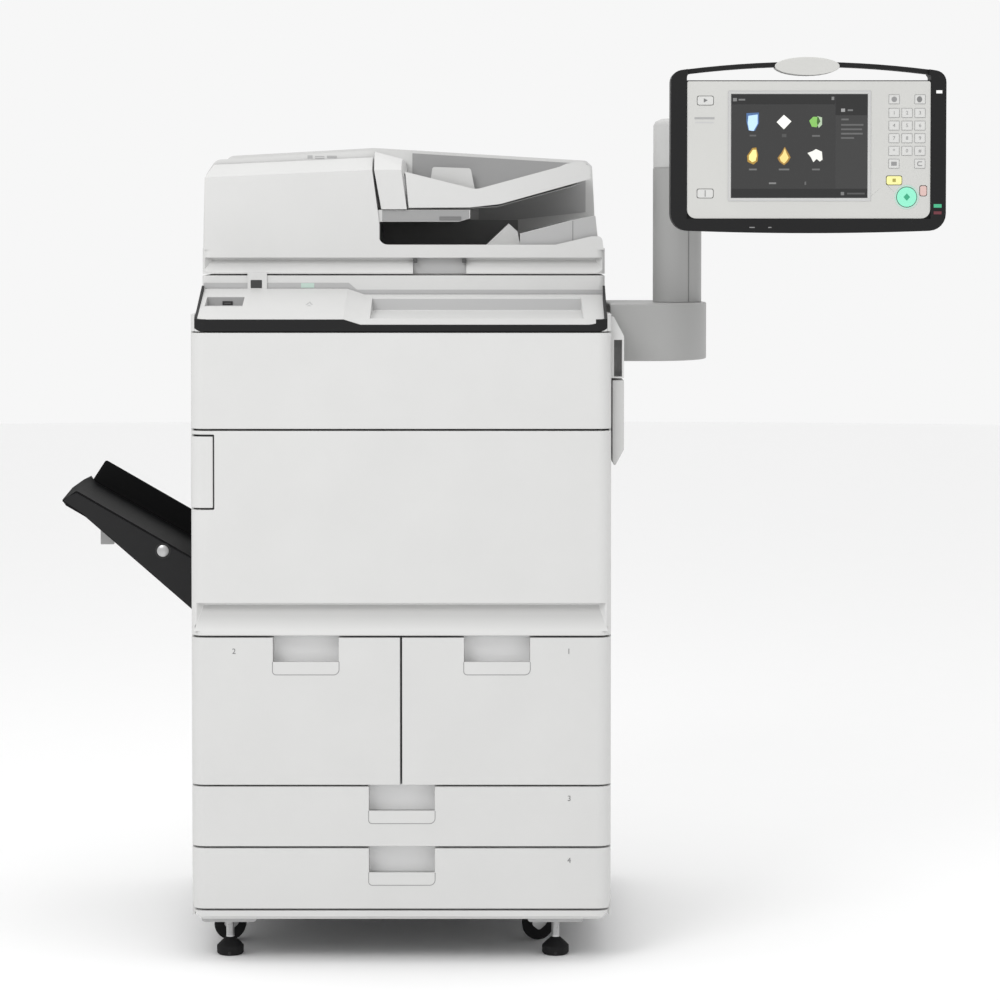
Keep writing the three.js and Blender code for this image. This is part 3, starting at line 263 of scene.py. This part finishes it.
def dress(node, material, bevel):
    """A copy of a CAD node with its facets merged and its edges rounded, in place of the node."""
    mesh = bmesh.new()
    mesh.from_mesh(frame["nodes"][node].data)
    bmesh.ops.remove_doubles(mesh, verts=mesh.verts, dist=2e-5)
    if node in SETBACK:
        face_y, move = SETBACK[node]
        for vert in mesh.verts:
            if abs(vert.co.y - at(0, face_y, 0).y) < 0.05 * MM:
                vert.co.y += move * MM
    bmesh.ops.dissolve_limit(mesh, angle_limit=math.radians(0.3), verts=mesh.verts, edges=mesh.edges)
    bmesh.ops.connect_verts_concave(mesh, faces=mesh.faces)
    slot = NODE_SLOT[node]
    piece = make_piece(f"{node}_shape", mesh, material or SLOT_MATERIAL[slot], NODE_BODY[node], bevel)
    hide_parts(node)
    return piece


AXES = {
    "x": (Vector((0, 1, 0)), Vector((0, 0, 1)), Vector((1, 0, 0))),
    "y": (Vector((1, 0, 0)), Vector((0, 0, 1)), Vector((0, 1, 0))),
    "z": (Vector((1, 0, 0)), Vector((0, 1, 0)), Vector((0, 0, 1))),
}


def rounded(corners, steps=6):
    """Outline points in which each corner (u, v, radius) has become an arc."""
    points = []
    for i, corner in enumerate(corners):
        here = Vector(corner[:2])
        if len(corner) < 3:
            points.append(here)
            continue
        back = (Vector(corners[i - 1][:2]) - here).normalized()
        ahead = (Vector(corners[(i + 1) % len(corners)][:2]) - here).normalized()
        half = math.acos(max(-1, min(1, back.dot(ahead)))) / 2
        centre = here + (back + ahead).normalized() * corner[2] / math.sin(half)
        first = here + back * corner[2] / math.tan(half) - centre
        last = here + ahead * corner[2] / math.tan(half) - centre
        turn = math.atan2(first.x * last.y - first.y * last.x, first.dot(last))
        for step in range(steps + 1):
            spin = Matrix.Rotation(turn * step / steps, 2)
            points.append(centre + spin @ first)
    return points


def sweep(name, axis, corners, start, end, material, body, bevel=0.0):
    """An outline swept along an axis: (y, z) along x, (x, z) along y or (x, y) along z."""
    u, v, along = AXES[axis]
    mesh = bmesh.new()
    origin = at(0, 0, 0)
    ring = [mesh.verts.new(origin + (u * p.x + v * p.y + along * start) * MM) for p in rounded(corners)]
    face = mesh.faces.new(ring)
    moved = bmesh.ops.extrude_face_region(mesh, geom=[face])["geom"]
    top = [item for item in moved if isinstance(item, bmesh.types.BMVert)]
    bmesh.ops.translate(mesh, verts=top, vec=along * (end - start) * MM)
    bmesh.ops.recalc_face_normals(mesh, faces=mesh.faces)
    return make_piece(name, mesh, material, body, bevel, 2)


def rectangle(u0, u1, v0, v1, radius=0.0):
    corners = [(u0, v0), (u1, v0), (u1, v1), (u0, v1)]
    return [(*corner, radius) for corner in corners] if radius else corners


def ellipse(u, v, radius_u, radius_v=None, count=28):
    radius_v = radius_v or radius_u
    return [
        (u + radius_u * math.cos(2 * math.pi * i / count), v + radius_v * math.sin(2 * math.pi * i / count))
        for i in range(count)
    ]


def turn(name, axis, centre, profile, material, body, bevel=0.0, count=40):
    """A turned piece: profile points are (radius, distance along the axis), closed on the axis."""
    u, v, along = AXES[axis]
    mesh = bmesh.new()
    middle = at(*centre)
    rings = []
    for radius, height in profile:
        spots = count if radius > 1e-6 else 1
        rings.append([
            mesh.verts.new(middle + along * height * MM + (
                u * math.cos(2 * math.pi * i / count) + v * math.sin(2 * math.pi * i / count)
            ) * radius * MM)
            for i in range(spots)
        ])
    for lower, upper in zip(rings, rings[1:]):
        for i in range(count):
            quad = [
                lower[i % len(lower)], lower[(i + 1) % len(lower)],
                upper[(i + 1) % len(upper)], upper[i % len(upper)],
            ]
            corners = list(dict.fromkeys(quad))
            if len(corners) > 2:
                mesh.faces.new(corners)
    bmesh.ops.recalc_face_normals(mesh, faces=mesh.faces)
    return make_piece(name, mesh, material, body, bevel)


def lettering(name, text, place, height, material, body):
    """Generic printed figures facing the front of the machine, centred on a place."""
    curve = bpy.data.curves.new(name, "FONT")
    curve.body = text
    curve.align_x = "CENTER"
    curve.align_y = "CENTER"
    curve.size = height * 1.4 * MM
    curve.extrude = 0.15 * MM
    curve.materials.append(material)
    piece = bpy.data.objects.new(name, curve)
    piece.rotation_euler = (math.radians(90), 0, 0)
    piece.location = at(*place)
    bpy.context.scene.collection.objects.link(piece)
    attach(piece, body)
    return piece


# ---- the machine -----------------------------------------------------------------------------

BEVELS = {
    "front_door": 1.6, "toner_cover": 1.6, "power_switch_cover": 1.2, "base_skirt": 1.2,
    "scanner_housing": 2.2, "feeder_base": 2.2, "feeder_cover": 2.2, "document_tray": 1.4,
    "panel_housing": 2.0, "panel_face": 0.5, "panel_grip": 4.0, "arm_base": 2.5, "arm_head": 2.0,
    "arm_column": 0.6, "top_tray": 1.6, "top_trim": 0.6, "bypass_tray": 2.0, "right_cover": 1.0,
    "exit_tray": 1.2, "guide_front": 1.0, "guide_rear": 1.0, "screen": 0.3, "platen_glass": 0.3,
    "start_key": 0.6, "stop_key": 0.4, "reset_key": 0.4, "keypad": 0.35, "left_keys": 0.4,
    "main_frame": 0.3, "drum": 0.3, "platen_pad": 1.0,
}
CHASSIS = surface("chassis_steel", (92, 93, 95), 0.5, grain=0.05, grain_mm=1.6, mottle=0.1, metallic=0.6)
EXIT_BLACK = surface("exit_tray_black", (7, 7, 8), 0.62, grain=0.3, gloss=0.14)
HEAD_GREY = surface("arm_head_grey", (188, 188, 187), 0.45)
GUIDE_GREY = surface("guide_grey", (190, 190, 189), 0.45)
# The bypass tray is cover white; its grey is painted shade.
BYPASS_PAINTED_SHADE = surface("bypass_painted_shade", (190, 190, 189), 0.5)
NODE_MATERIAL = {
    "main_frame": CHASSIS, "exit_tray": EXIT_BLACK, "arm_head": HEAD_GREY,
    "guide_front": GUIDE_GREY, "guide_rear": GUIDE_GREY, "bypass_tray": BYPASS_PAINTED_SHADE,
}
for node in sorted(frame["nodes"]):
    width = BEVELS.get(node, 1.4 if node.startswith("drawer") and node.endswith("front") else 0.5)
    dress(node, NODE_MATERIAL.get(node), width)


def tone(level, roughness=0.5, grain=0.1):
    """A neutral grey plastic of the given lightness, made once."""
    name = f"grey_{level}"
    made = bpy.data.materials.get(name)
    return made or surface(name, (level, level, level), roughness, grain=grain, mottle=0.02)


def ink(name, colour, glow=0.0):
    return surface(name, colour, 0.4, grain=0.0, mottle=0.02, glow=glow)


def plate(name, x0, x1, z0, z1, front, material, body, depth=0.5, radius=0.0):
    """A thin plate that faces the front of the machine; front is the y of its face."""
    return sweep(name, "y", rectangle(x0, x1, z0, z1, radius), front, front + depth, material, body, 0.0)


def decal(name, outline, height, material, body, depth=0.4):
    """A thin skin on a sloping top: outline points are (x, y) and height gives the z below them."""
    mesh = bmesh.new()
    ring = [mesh.verts.new(at(x, y, height(x, y) + 0.15)) for x, y in outline]
    moved = bmesh.ops.extrude_face_region(mesh, geom=[mesh.faces.new(ring)])["geom"]
    low = [item for item in moved if isinstance(item, bmesh.types.BMVert)]
    bmesh.ops.translate(mesh, verts=low, vec=(0, 0, -depth * MM))
    bmesh.ops.recalc_face_normals(mesh, faces=mesh.faces)
    return make_piece(name, mesh, material, body)


# Front door: the shade inside the finger groove along its lower edge.
GROOVE_LOW, GROOVE_HIGH, GROOVE_DEPTH = 511.9, 555, 16.5


def groove_height(_, y):
    return GROOVE_LOW + (GROOVE_HIGH - GROOVE_LOW) * y / GROOVE_DEPTH + 0.5


def shaded(name, low, high, low_tone, high_tone):
    """Cover plastic that darkens from one height to another."""
    material = surface(name, low_tone, 0.5)
    nodes = material.node_tree.nodes
    links = material.node_tree.links
    split = nodes.new("ShaderNodeSeparateXYZ")
    rise = nodes.new("ShaderNodeMapRange")
    rise.inputs["From Min"].default_value = low * MM
    rise.inputs["From Max"].default_value = high * MM
    ramp = nodes.new("ShaderNodeValToRGB")
    ramp.color_ramp.elements[0].color = linear(low_tone)
    ramp.color_ramp.elements[1].color = linear(high_tone)
    links.new(nodes["Texture Coordinate"].outputs["Object"], split.inputs["Vector"])
    links.new(split.outputs["Z"], rise.inputs["Value"])
    links.new(rise.outputs["Result"], ramp.inputs["Fac"])
    links.new(ramp.outputs["Color"], nodes["Principled BSDF"].inputs["Base Color"])
    return material


decal("door_groove_skin", [(-319.4, 1.4), (-305.6, 16.1), (305.6, 16.1), (319.4, 1.4)], groove_height,
      shaded("groove_shade", 515, 538, (204, 204, 203), (185, 185, 184)), "front_door", 0.6)

# Drawers: a number, the seam around the finger plate of each handle pocket, and painted light on each
# pocket's back wall.
MARK = tone(112)
SEAM = tone(140)
DRAWER_NUMBERS = {"1": (258.8, 484.2), "2": (-257.7, 484.2), "3": (259.6, 256), "4": (259.6, 159.7)}
POCKET_LEFT = {"1": 97, "2": -198, "3": -50, "4": -50}
POCKET_WIDTH = 102
POCKET_HEIGHT = 57
LIP_HEIGHT = 19.5
POCKET_DEPTH = 30
# Painted light: the back wall of each pocket is drawn lighter than the drawer, to lift the shade inside it.
POCKET_PAINTED_LIGHT = tone(232)
for number, (x, z) in DRAWER_NUMBERS.items():
    lettering(f"drawer_number_{number}", number, (x, -0.1, z), 8.5, MARK, f"drawer_{number}")
    left = POCKET_LEFT[number]
    right = left + POCKET_WIDTH
    low = box_mm(f"drawer_{number}_front")[5] - POCKET_HEIGHT
    high = low + LIP_HEIGHT
    sweep(f"pocket_seam_{number}", "y", [
        (left - 1, high), (left - 1, low - 1, 6), (right + 1, low - 1, 9), (right + 1, high),
        (right - 0.2, high), (right - 0.2, low + 0.2, 8), (left + 0.2, low + 0.2, 5), (left + 0.2, high),
    ], -0.15, 0.3, SEAM, f"drawer_{number}", 0.0)
    plate(f"pocket_back_{number}", left + 0.4, right - 0.4, low + LIP_HEIGHT - 3, low + POCKET_HEIGHT - 0.4,
          POCKET_DEPTH - 0.6, POCKET_PAINTED_LIGHT, f"drawer_{number}", 0.5)

# Scanner front: painted shade along the gap over the tray, a latch tab, the lamp, and the port for a memory
# stick.
SCANNER_FRONT = box_mm("scanner_housing")[2]
# A band of painted shade on the scanner front, where the gap over the tray falls in shadow.
GROOVE = tone(172)
sweep("scanner_gap_shade", "y", [
    (-318, 1041), (-90, 1041), (-77, 1031.5), (318, 1031.5),
    (318, 1038.5), (-74, 1038.5), (-87, 1049.5), (-318, 1049.5),
], SCANNER_FRONT - 0.5, SCANNER_FRONT + 0.5, GROOVE, "cabinet", 0.0)
plate("latch_tab", -248, -217, 1036, 1066, SCANNER_FRONT - 3, COVER, "cabinet", 2.8, 2)
# Painted shade: a dark plate in the latch's mouth, in place of the opening.
plate("latch_mouth_shade", -243, -225, 1041, 1054, SCANNER_FRONT - 3.3, tone(48), "cabinet", 0.6, 1)
plate("ready_lamp", -163, -142, 1041.5, 1049, SCANNER_FRONT - 0.9,
      ink("lamp_green", (182, 203, 193)), "cabinet")


def tray_height(_, y):
    return 997 + (y - 4) * 43 / 182


HOME_GREY = tone(178)
decal("home_mark", [(-151, 88), (-145, 108), (-139, 88), (-142, 88), (-145, 99), (-148, 88)],
      tray_height, HOME_GREY, "cabinet")
decal("home_mark_foot", [(-149, 80), (-141, 80), (-145, 86)], tray_height, HOME_GREY, "cabinet")


def recess_wall(_, y):
    return 1006 + (y - 160) * 54 / 16 + 0.5


# Painted shade: a darker skin on the back wall of the recess behind the tray.
decal("recess_wall_shade", [(-48.6, 160.3), (281.6, 160.3), (281.6, 165.3), (-48.6, 165.3)], recess_wall,
      tone(170), "cabinet", 0.6)
PORT_BACK = 137
plate("port_wall", -307.4, -249.6, 1014.8, 1027.6, PORT_BACK - 0.5, tone(150), "cabinet")
sweep("port_floor", "z", rectangle(-307.4, -249.6, 82, PORT_BACK - 1), 1014.45, 1014.8,
      tone(165), "cabinet")
plate("port_socket", -284, -268, 1014.9, 1021.5, PORT_BACK - 2.5, tone(22), "cabinet", 2, 0.6)
plate("port_tongue", -281, -271, 1017.6, 1018.8, PORT_BACK - 3, tone(90), "cabinet", 1)

# Document feeder: the dark space where originals land, with painted light and shade in it, and the parts seen
# around it.
FEEDER_FRONT = box_mm("feeder_base")[2]
HOUSING_FRONT = 519
OUTPUT_FLOOR = 1104
# The space's black plastic is drawn a mid grey: painted light that lifts the shade there. SHADE is painted
# shade under the document tray and at the back of the space.
SPACE_PAINTED_LIGHT = tone(138)
SHADE = tone(166)
sweep("output_floor", "z", rectangle(-38, 122, 210, HOUSING_FRONT - 0.6),
      OUTPUT_FLOOR, OUTPUT_FLOOR + 0.5, SPACE_PAINTED_LIGHT, "feeder")
sweep("output_end", "x", rectangle(247, HOUSING_FRONT - 0.6, OUTPUT_FLOOR + 0.5, 1146),
      -42.2, -41.6, SPACE_PAINTED_LIGHT, "feeder")
plate("output_back", -41.4, 186, OUTPUT_FLOOR + 0.6, 1150, HOUSING_FRONT - 0.7, SPACE_PAINTED_LIGHT, "feeder", 0.6)
sweep("output_back_high", "y", [(120, 1150.5), (186, 1150.5), (300, 1163), (300, 1222), (120, 1180)],
      HOUSING_FRONT - 0.7, HOUSING_FRONT - 0.1, SHADE, "feeder", 0.0)
sweep("housing_front", "y", [(8, 1185), (110, 1185), (304, 1226), (303, 1244), (8, 1262)],
      HOUSING_FRONT - 0.8, HOUSING_FRONT - 0.1, tone(150), "feeder", 0.0)
sweep("inner_guide_face", "y", [(-34, 1147), (88, 1147), (104.5, 1152.3), (104.5, 1165), (-34, 1165)],
      199.3, 200, tone(148), "feeder", 0.0)
plate("inner_guide_window", 57, 92, 1148.6, 1155, 198.8, tone(112), "feeder", 0.5, 1)
sweep("tray_underside", "y", [
    (107, 1168.6), (150, 1171.2), (281, 1207.2), (281, 1206.4), (150, 1170.4), (107, 1167.8),
], 205.5, 506, SHADE, "document_tray")
# Painted shade: a darker skin on the front of the ramp, which is cover white.
sweep("ramp_front_shade", "y", [(186.4, 1104.5), (186.4, 1127.4), (268, 1148.6), (305.8, 1155.6), (311.4, 1104.5)],
      207.6, 208.2, tone(172), "feeder", 0.0)
sweep("ramp_seam", "y", rectangle(269.4, 270.6, 1106, 1148.2), 207.4, 207.8, tone(120), "feeder", 0.0)
# Painted shade in the lifting grip: a grey back wall and dark top corners, where the overhang shades the
# recess.
GRIP = (15, 100, 1064, 1088)
plate("grip_back_shade", GRIP[0] + 0.5, GRIP[1] - 0.5, GRIP[2], GRIP[3] - 0.5, FEEDER_FRONT + 16.2,
      tone(178), "feeder", 0.7)
for side, x in (("left", GRIP[0] + 0.6), ("right", GRIP[1] - 6.6)):
    plate(f"grip_corner_shade_{side}", x, x + 6, GRIP[3] - 7, GRIP[3] - 0.6, FEEDER_FRONT + 3,
          tone(70), "feeder", 12)
FEEDER_MARKS = [
    (-155, -147, 1248, 1253), (-143, -128, 1250.5, 1252),
    (-143, -128, 1247.5, 1249), (-124, -108, 1248.5, 1252.5),
]
for i, (x0, x1, z0, z1) in enumerate(FEEDER_MARKS):
    plate(f"feeder_mark_{i}", x0, x1, z0, z1, 243.0, tone(168), "feeder_cover", 0.4)

# Exit tray: a lighter outer wall, its round catch, and the stay that shows under it.
tip_x, _, EXIT_FRONT = box_mm("exit_tray")[:3]
sweep("exit_wall_skin", "y", [
    (tip_x + 1.5, 704), (-511, 684.6), (-329.5, 526), (-329.5, 607), (-519, 716), (-530, 712),
], EXIT_FRONT - 0.6, EXIT_FRONT, surface("exit_wall", (25, 25, 26), 0.55, grain=0.25, gloss=0.25), "cabinet")
EXIT_CATCH = (-382, 0, 624)
turn("exit_catch_ring", "y", EXIT_CATCH, [
    (0, EXIT_FRONT - 1.2), (12.5, EXIT_FRONT - 1.2), (12.5, EXIT_FRONT), (0, EXIT_FRONT),
], tone(8), "cabinet", 0.2)
turn("exit_catch", "y", EXIT_CATCH, [
    (0, EXIT_FRONT - 4), (6.5, EXIT_FRONT - 4), (9.3, EXIT_FRONT - 2.4), (9.3, EXIT_FRONT - 1),
    (0, EXIT_FRONT - 1),
], ZINC, "cabinet", 0.2)
plate("exit_stay", -496, -474, 621.5, 662, 300, tone(176), "cabinet", 4, 1)

# Shoulder over the bypass tray: painted shade on the back of its finger pocket.
plate("shoulder_pocket_back", 329.6, 341, 907.6, 963.4, 55.4, tone(132), "cabinet")

# Arm: the seam down the column.
COLUMN_BASE = box_mm("arm_column")[4]
COLUMN_TOP = box_mm("arm_column")[5]
plate("column_seam", 453.4, 454.5, COLUMN_BASE + 1, COLUMN_TOP - 1, 193.1, tone(112), "cabinet", 1.6)

# Control panel: the display's bezel, its picture, and the marks on keys and frame.
SCREEN_X0, SCREEN_X1, SCREEN_FRONT, _, SCREEN_Z0, SCREEN_Z1 = box_mm("screen")
FACE_FRONT = box_mm("panel_face")[2]
PANEL = "control_panel"


def bezel(name, inner, width, front, back, material, body):
    """A chamfered frame that falls from an outer edge to the display."""
    x0, x1, z0, z1 = inner
    mesh = bmesh.new()
    near = rectangle(x0 - width, x1 + width, z0 - width, z1 + width)
    far = rectangle(x0, x1, z0, z1)
    rings = [
        [mesh.verts.new(at(x, y, z)) for x, z in outline]
        for outline, y in ((near, front), (far, back), (far, back + 0.3), (near, front + 0.3))
    ]
    for ring, following in zip(rings, rings[1:] + rings[:1]):
        for i in range(4):
            mesh.faces.new([ring[i], ring[(i + 1) % 4], following[(i + 1) % 4], following[i]])
    bmesh.ops.recalc_face_normals(mesh, faces=mesh.faces)
    return make_piece(name, mesh, material, body)


# The bezel's grey is a little darker than the panel face: painted shade on the chamfer.
bezel("screen_bezel", (SCREEN_X0 + 0.4, SCREEN_X1 - 0.4, SCREEN_Z0 + 0.4, SCREEN_Z1 - 0.4), 4.5,
      FACE_FRONT - 0.8, SCREEN_FRONT - 0.2, tone(186), PANEL)
PICTURE = SCREEN_FRONT - 0.3
BAR = tone(24, 0.3, 0)
FIELD = tone(44, 0.3, 0)
plate("picture_header", SCREEN_X0 + 0.6, 662, 1325, SCREEN_Z1 - 0.6, PICTURE, BAR, PANEL, 0.2)
plate("picture_field", SCREEN_X0 + 0.6, 662, 1197, 1324.6, PICTURE, FIELD, PANEL, 0.2)
plate("picture_footer", SCREEN_X0 + 0.6, SCREEN_X1 - 0.6, SCREEN_Z0 + 0.6, 1196.6, PICTURE, BAR, PANEL, 0.2)
plate("picture_side_head", 662.6, SCREEN_X1 - 0.6, 1308.5, SCREEN_Z1 - 0.6, PICTURE, BAR, PANEL, 0.2)
plate("picture_side", 662.6, SCREEN_X1 - 0.6, 1197, 1308.1, PICTURE, tone(50, 0.3, 0), PANEL, 0.2)
ICONS = [
    ("blue_back", (537, 1298.5), [(-10, 13), (9, 14), (9, -2), (3, -14), (-7, -13), (-10, 0)], (66, 96, 138)),
    ("blue", (537, 1297.5), [(-7, 10), (7, 12), (7, -2), (1, -13), (-6, -12), (-8, -1)], (176, 206, 238)),
    ("white", (584, 1298), [(0, 11), (11.5, 1), (0, -11), (-11, 0)], (226, 226, 221)),
    ("green", (631.5, 1298), [(-9, 2), (-3, 8), (5, 8), (8, 1), (2, -8), (-5, -7)], (118, 172, 84)),
    ("green_page", (637, 1299), [(-2, 8), (5, 6), (5, -5), (0, -10), (-3, -2)], (158, 176, 150)),
    ("gold_back", (537, 1246.5), [
        (-1, 12), (5, 13), (8, 2), (7, -8), (1, -13), (-8, -9), (-9, 0),
    ], (150, 118, 46)),
    ("gold", (537, 1247), [(0, 9), (5, 9), (6, 0), (4, -8), (-1, -10), (-6, -6), (-6, 0)], (236, 214, 138)),
    ("amber_back", (584.5, 1246.5), [
        (1, 14), (6, 5), (10, -2), (6, -9), (0, -14), (-7, -9), (-10, -3), (-4, 5),
    ], (146, 112, 50)),
    ("amber", (584.5, 1246), [
        (1, 12), (4, 4), (7, -2), (4, -7), (0, -11), (-5, -7), (-7, -2), (-2, 4),
    ], (222, 196, 122)),
    ("sheets", (632, 1247), [
        (-12, 4), (-4, 7), (1, 10), (10, 6), (11, -6), (7, -9), (2, -5), (-3, -10), (-7, -2),
    ], (216, 216, 210)),
]
for name, (x, z), outline, colour in ICONS:
    lift = 0.2 if name.endswith("back") else 0.4
    sweep(f"icon_{name}", "y", [(x + u, z + v) for u, v in outline], PICTURE - lift, PICTURE - lift + 0.15,
          ink(f"icon_{name}_ink", colour, 0.25), PANEL, 0.0)
# Each caption: x, z, width, lightness.
CAPTIONS = [
    (537, 1277.5, 10, 84), (584.5, 1277.5, 7, 70), (633, 1277, 12, 96), (537, 1226, 12, 104),
    (584.5, 1226, 16, 104), (633, 1226, 12, 100), (509.5, 1332, 6, 120), (520, 1332, 10, 110),
    (658.5, 1334, 4, 120), (674, 1316, 6, 150), (685, 1316, 8, 110), (677, 1302, 11, 96),
    (567, 1205, 11, 120), (617, 1205, 2.5, 96), (673.5, 1189.3, 5, 112), (694, 1189.3, 27, 74),
    (688, 1293.8, 34, 92), (687, 1287, 32, 92), (687.5, 1280.4, 33, 96), (681, 1273.8, 20, 92),
]
for i, (x, z, width, level) in enumerate(CAPTIONS):
    tall = 5 if width < 8 else 2.6
    plate(f"caption_{i}", x - width / 2, x + width / 2, z - tall / 2, z + tall / 2, PICTURE - 0.2,
          tone(level, 0.3, 0), PANEL, 0.15)

KEY_FRONT = box_mm("keypad")[2]
KEY_MARK = tone(138)
KEY_X, KEY_STEP_X = 751.6, 19.7         # the left column of keys, and the columns' spacing
KEY_Z, KEY_STEP_Z = 1311.8, -19.2      # the top row of number keys, and the rows' spacing
KEY_RIGHT = 791                        # the right column
KEY_HALF_X, KEY_HALF_Z = 7.65, 6.65    # half a key, with a little air


def key_gap_painted_light(name, x, z):
    """A light frame in the gap around a key: painted light over the gap's shade, so that the gap reads as a
    fine line.
    """
    bezel(f"key_gap_painted_light_{name}", (x - KEY_HALF_X, x + KEY_HALF_X, z - KEY_HALF_Z, z + KEY_HALF_Z), 0.5,
          FACE_FRONT + 0.3, FACE_FRONT + 0.35, tone(196), PANEL)


for i, figure in enumerate("123456789*0#"):
    row, column = divmod(i, 3)
    x, z = KEY_X + KEY_STEP_X * column, KEY_Z + KEY_STEP_Z * row
    key_gap_painted_light(i, x, z)
    lettering(f"key_figure_{i}", figure, (x, KEY_FRONT - 0.05, z), 5.5, KEY_MARK, "keypad")
for name, x, z, outline in [
    ("clock", KEY_X, 1332.5, ellipse(0, 0, 4.2)), ("contrast", KEY_RIGHT, 1332.5, ellipse(-1, 0, 4, 4.6)),
    ("ident", KEY_X, 1234.7, rectangle(-4.2, 4.2, -3, 3)), ("clear", KEY_RIGHT, 1234.7, [
        (3.5, 3.6), (-2.5, 3.6), (-4, 1.8), (-4, -1.8), (-2.5, -3.6), (3.5, -3.6), (3.5, -2.2),
        (-1.8, -2.2), (-2.6, -1), (-2.6, 1), (-1.8, 2.2), (3.5, 2.2)]),
]:
    key_gap_painted_light(name, x, z)
    sweep(f"key_mark_{name}", "y", [(x + u, z + v) for u, v in outline], KEY_FRONT - 0.15, KEY_FRONT + 0.1,
          tone(120) if name == "contrast" else KEY_MARK, "keypad", 0.0)
LEFT_FRONT = box_mm("left_keys")[2]
sweep("left_key_mark", "y", [(462, 1334), (468, 1331), (462, 1327.5)],
      LEFT_FRONT - 0.15, LEFT_FRONT + 0.1, MARK, "left_keys")
plate("left_key_line", 463.7, 465.2, 1184.5, 1194.5, LEFT_FRONT - 0.15, KEY_MARK, "left_keys", 0.25)
START_X0, START_X1, START_FRONT, _, START_Z0, START_Z1 = box_mm("start_key")
START = ((START_X0 + START_X1) / 2, (START_Z0 + START_Z1) / 2)
sweep("start_mark", "y", [(START[0] + u, START[1] + v) for u, v in [(0, 5.6), (5, 0), (0, -5.6), (-5, 0)]],
      START_FRONT - 0.15, START_FRONT + 0.1, ink("start_ink", (52, 160, 122)), "start_key", 0.0)
turn("start_surround", "y", (START[0], 0, START[1]), [
    (16.2, FACE_FRONT - 0.4), (18.4, FACE_FRONT - 0.4), (18.4, FACE_FRONT + 0.1),
    (16.2, FACE_FRONT + 0.1), (16.2, FACE_FRONT - 0.4),
], ink("start_ring", (176, 206, 194)), PANEL)
RESET_FRONT = box_mm("reset_key")[2]
plate("reset_mark", 749.5, 754.5, 1207, 1212, RESET_FRONT - 0.15,
      ink("reset_ink", (160, 150, 70)), "reset_key", 0.25)
plate("setting_label", 448, 478.5, 1302.2, 1305.4, FACE_FRONT - 0.15, tone(160), PANEL, 0.25)
plate("setting_label_low", 449, 477, 1296.2, 1298.4, FACE_FRONT - 0.15, tone(186), PANEL, 0.25)
HOUSING_Y = box_mm("panel_housing")[2]
for i, (x, width) in enumerate([(536, 8), (563, 5)]):
    plate(f"frame_mark_{i}", x - width / 2, x + width / 2, 1137, 1138.6, HOUSING_Y + 0.2,
          tone(128), PANEL, 0.5)
for name, x, z, width, height, colour in [
    ("white", 820, 1343.8, 9, 4.6, (224, 224, 222)),
    ("green", 818.3, 1170.6, 12, 5.4, (58, 160, 118)),
    ("red", 818.3, 1160, 12, 4.6, (92, 34, 44)),
]:
    plate(f"lamp_{name}", x - width / 2, x + width / 2, z - height / 2, z + height / 2, HOUSING_Y,
          ink(f"lamp_{name}_ink", colour, 0.2), PANEL, 0.5)

# Running gear: bright stems and nuts on the levelling feet, and the brackets that hold them.
for corner in ("front_left", "front_right", "rear_left", "rear_right"):
    x0, x1, y0, y1 = box_mm(f"foot_{corner}")[:4]
    centre = ((x0 + x1) / 2, (y0 + y1) / 2, 0)
    body = f"foot_{corner}"
    turn(f"stem_{corner}", "z", centre, [
        (6.1, 27.5), (6.4, 27.5), *[(6.4 - 0.5 * (i % 2), 29 + i * 1.25) for i in range(34)],
        (6.1, 72), (6.1, 27.5),
    ], ZINC, body)
    turn(f"stem_nut_{corner}", "z", centre, [
        (6.5, 58), (10, 58), (10, 64.5), (6.5, 64.5), (6.5, 58),
    ], ZINC, body, 0.3, 6)
    # Painted shade: a dark plate in place of the notch at the front of each foot's pad.
    plate(f"pad_notch_shade_{corner}", centre[0] - 2.6, centre[0] + 2.6, 1.2, 6.4, y0 - 0.15,
          tone(6), body, 1.6, 2.4)
for name, x0, x1 in (("left", -311, -226), ("right", 196, 282)):
    plate(f"foot_bracket_{name}", x0, x1, 58, 85.5, 30, tone(178), "cabinet", 24, 5)

# Louvres in the side and rear covers: dark plates that are painted shade in place of open slots.
LEFT_SIDE = box_mm("left_cover")[0]
REAR = box_mm("rear_cover")[3]
LOUVRE_SHADE = tone(58)
for i in range(9):
    sweep(f"side_louvre_{i}", "x", rectangle(470, 640, 846 + 9 * i, 850 + 9 * i, 1.5),
          LEFT_SIDE - 0.3, LEFT_SIDE + 0.3, LOUVRE_SHADE, "cabinet")
    sweep(f"rear_louvre_{i}", "y", rectangle(-240, -90, 180 + 10 * i, 185 + 10 * i, 2),
          REAR - 1.1, REAR - 0.2, LOUVRE_SHADE, "cabinet")
plate("rear_panel_seam", -290, 290, 520, 521.4, REAR - 1.0, tone(120), "cabinet", 0.5)

add_camera()
add_studio()
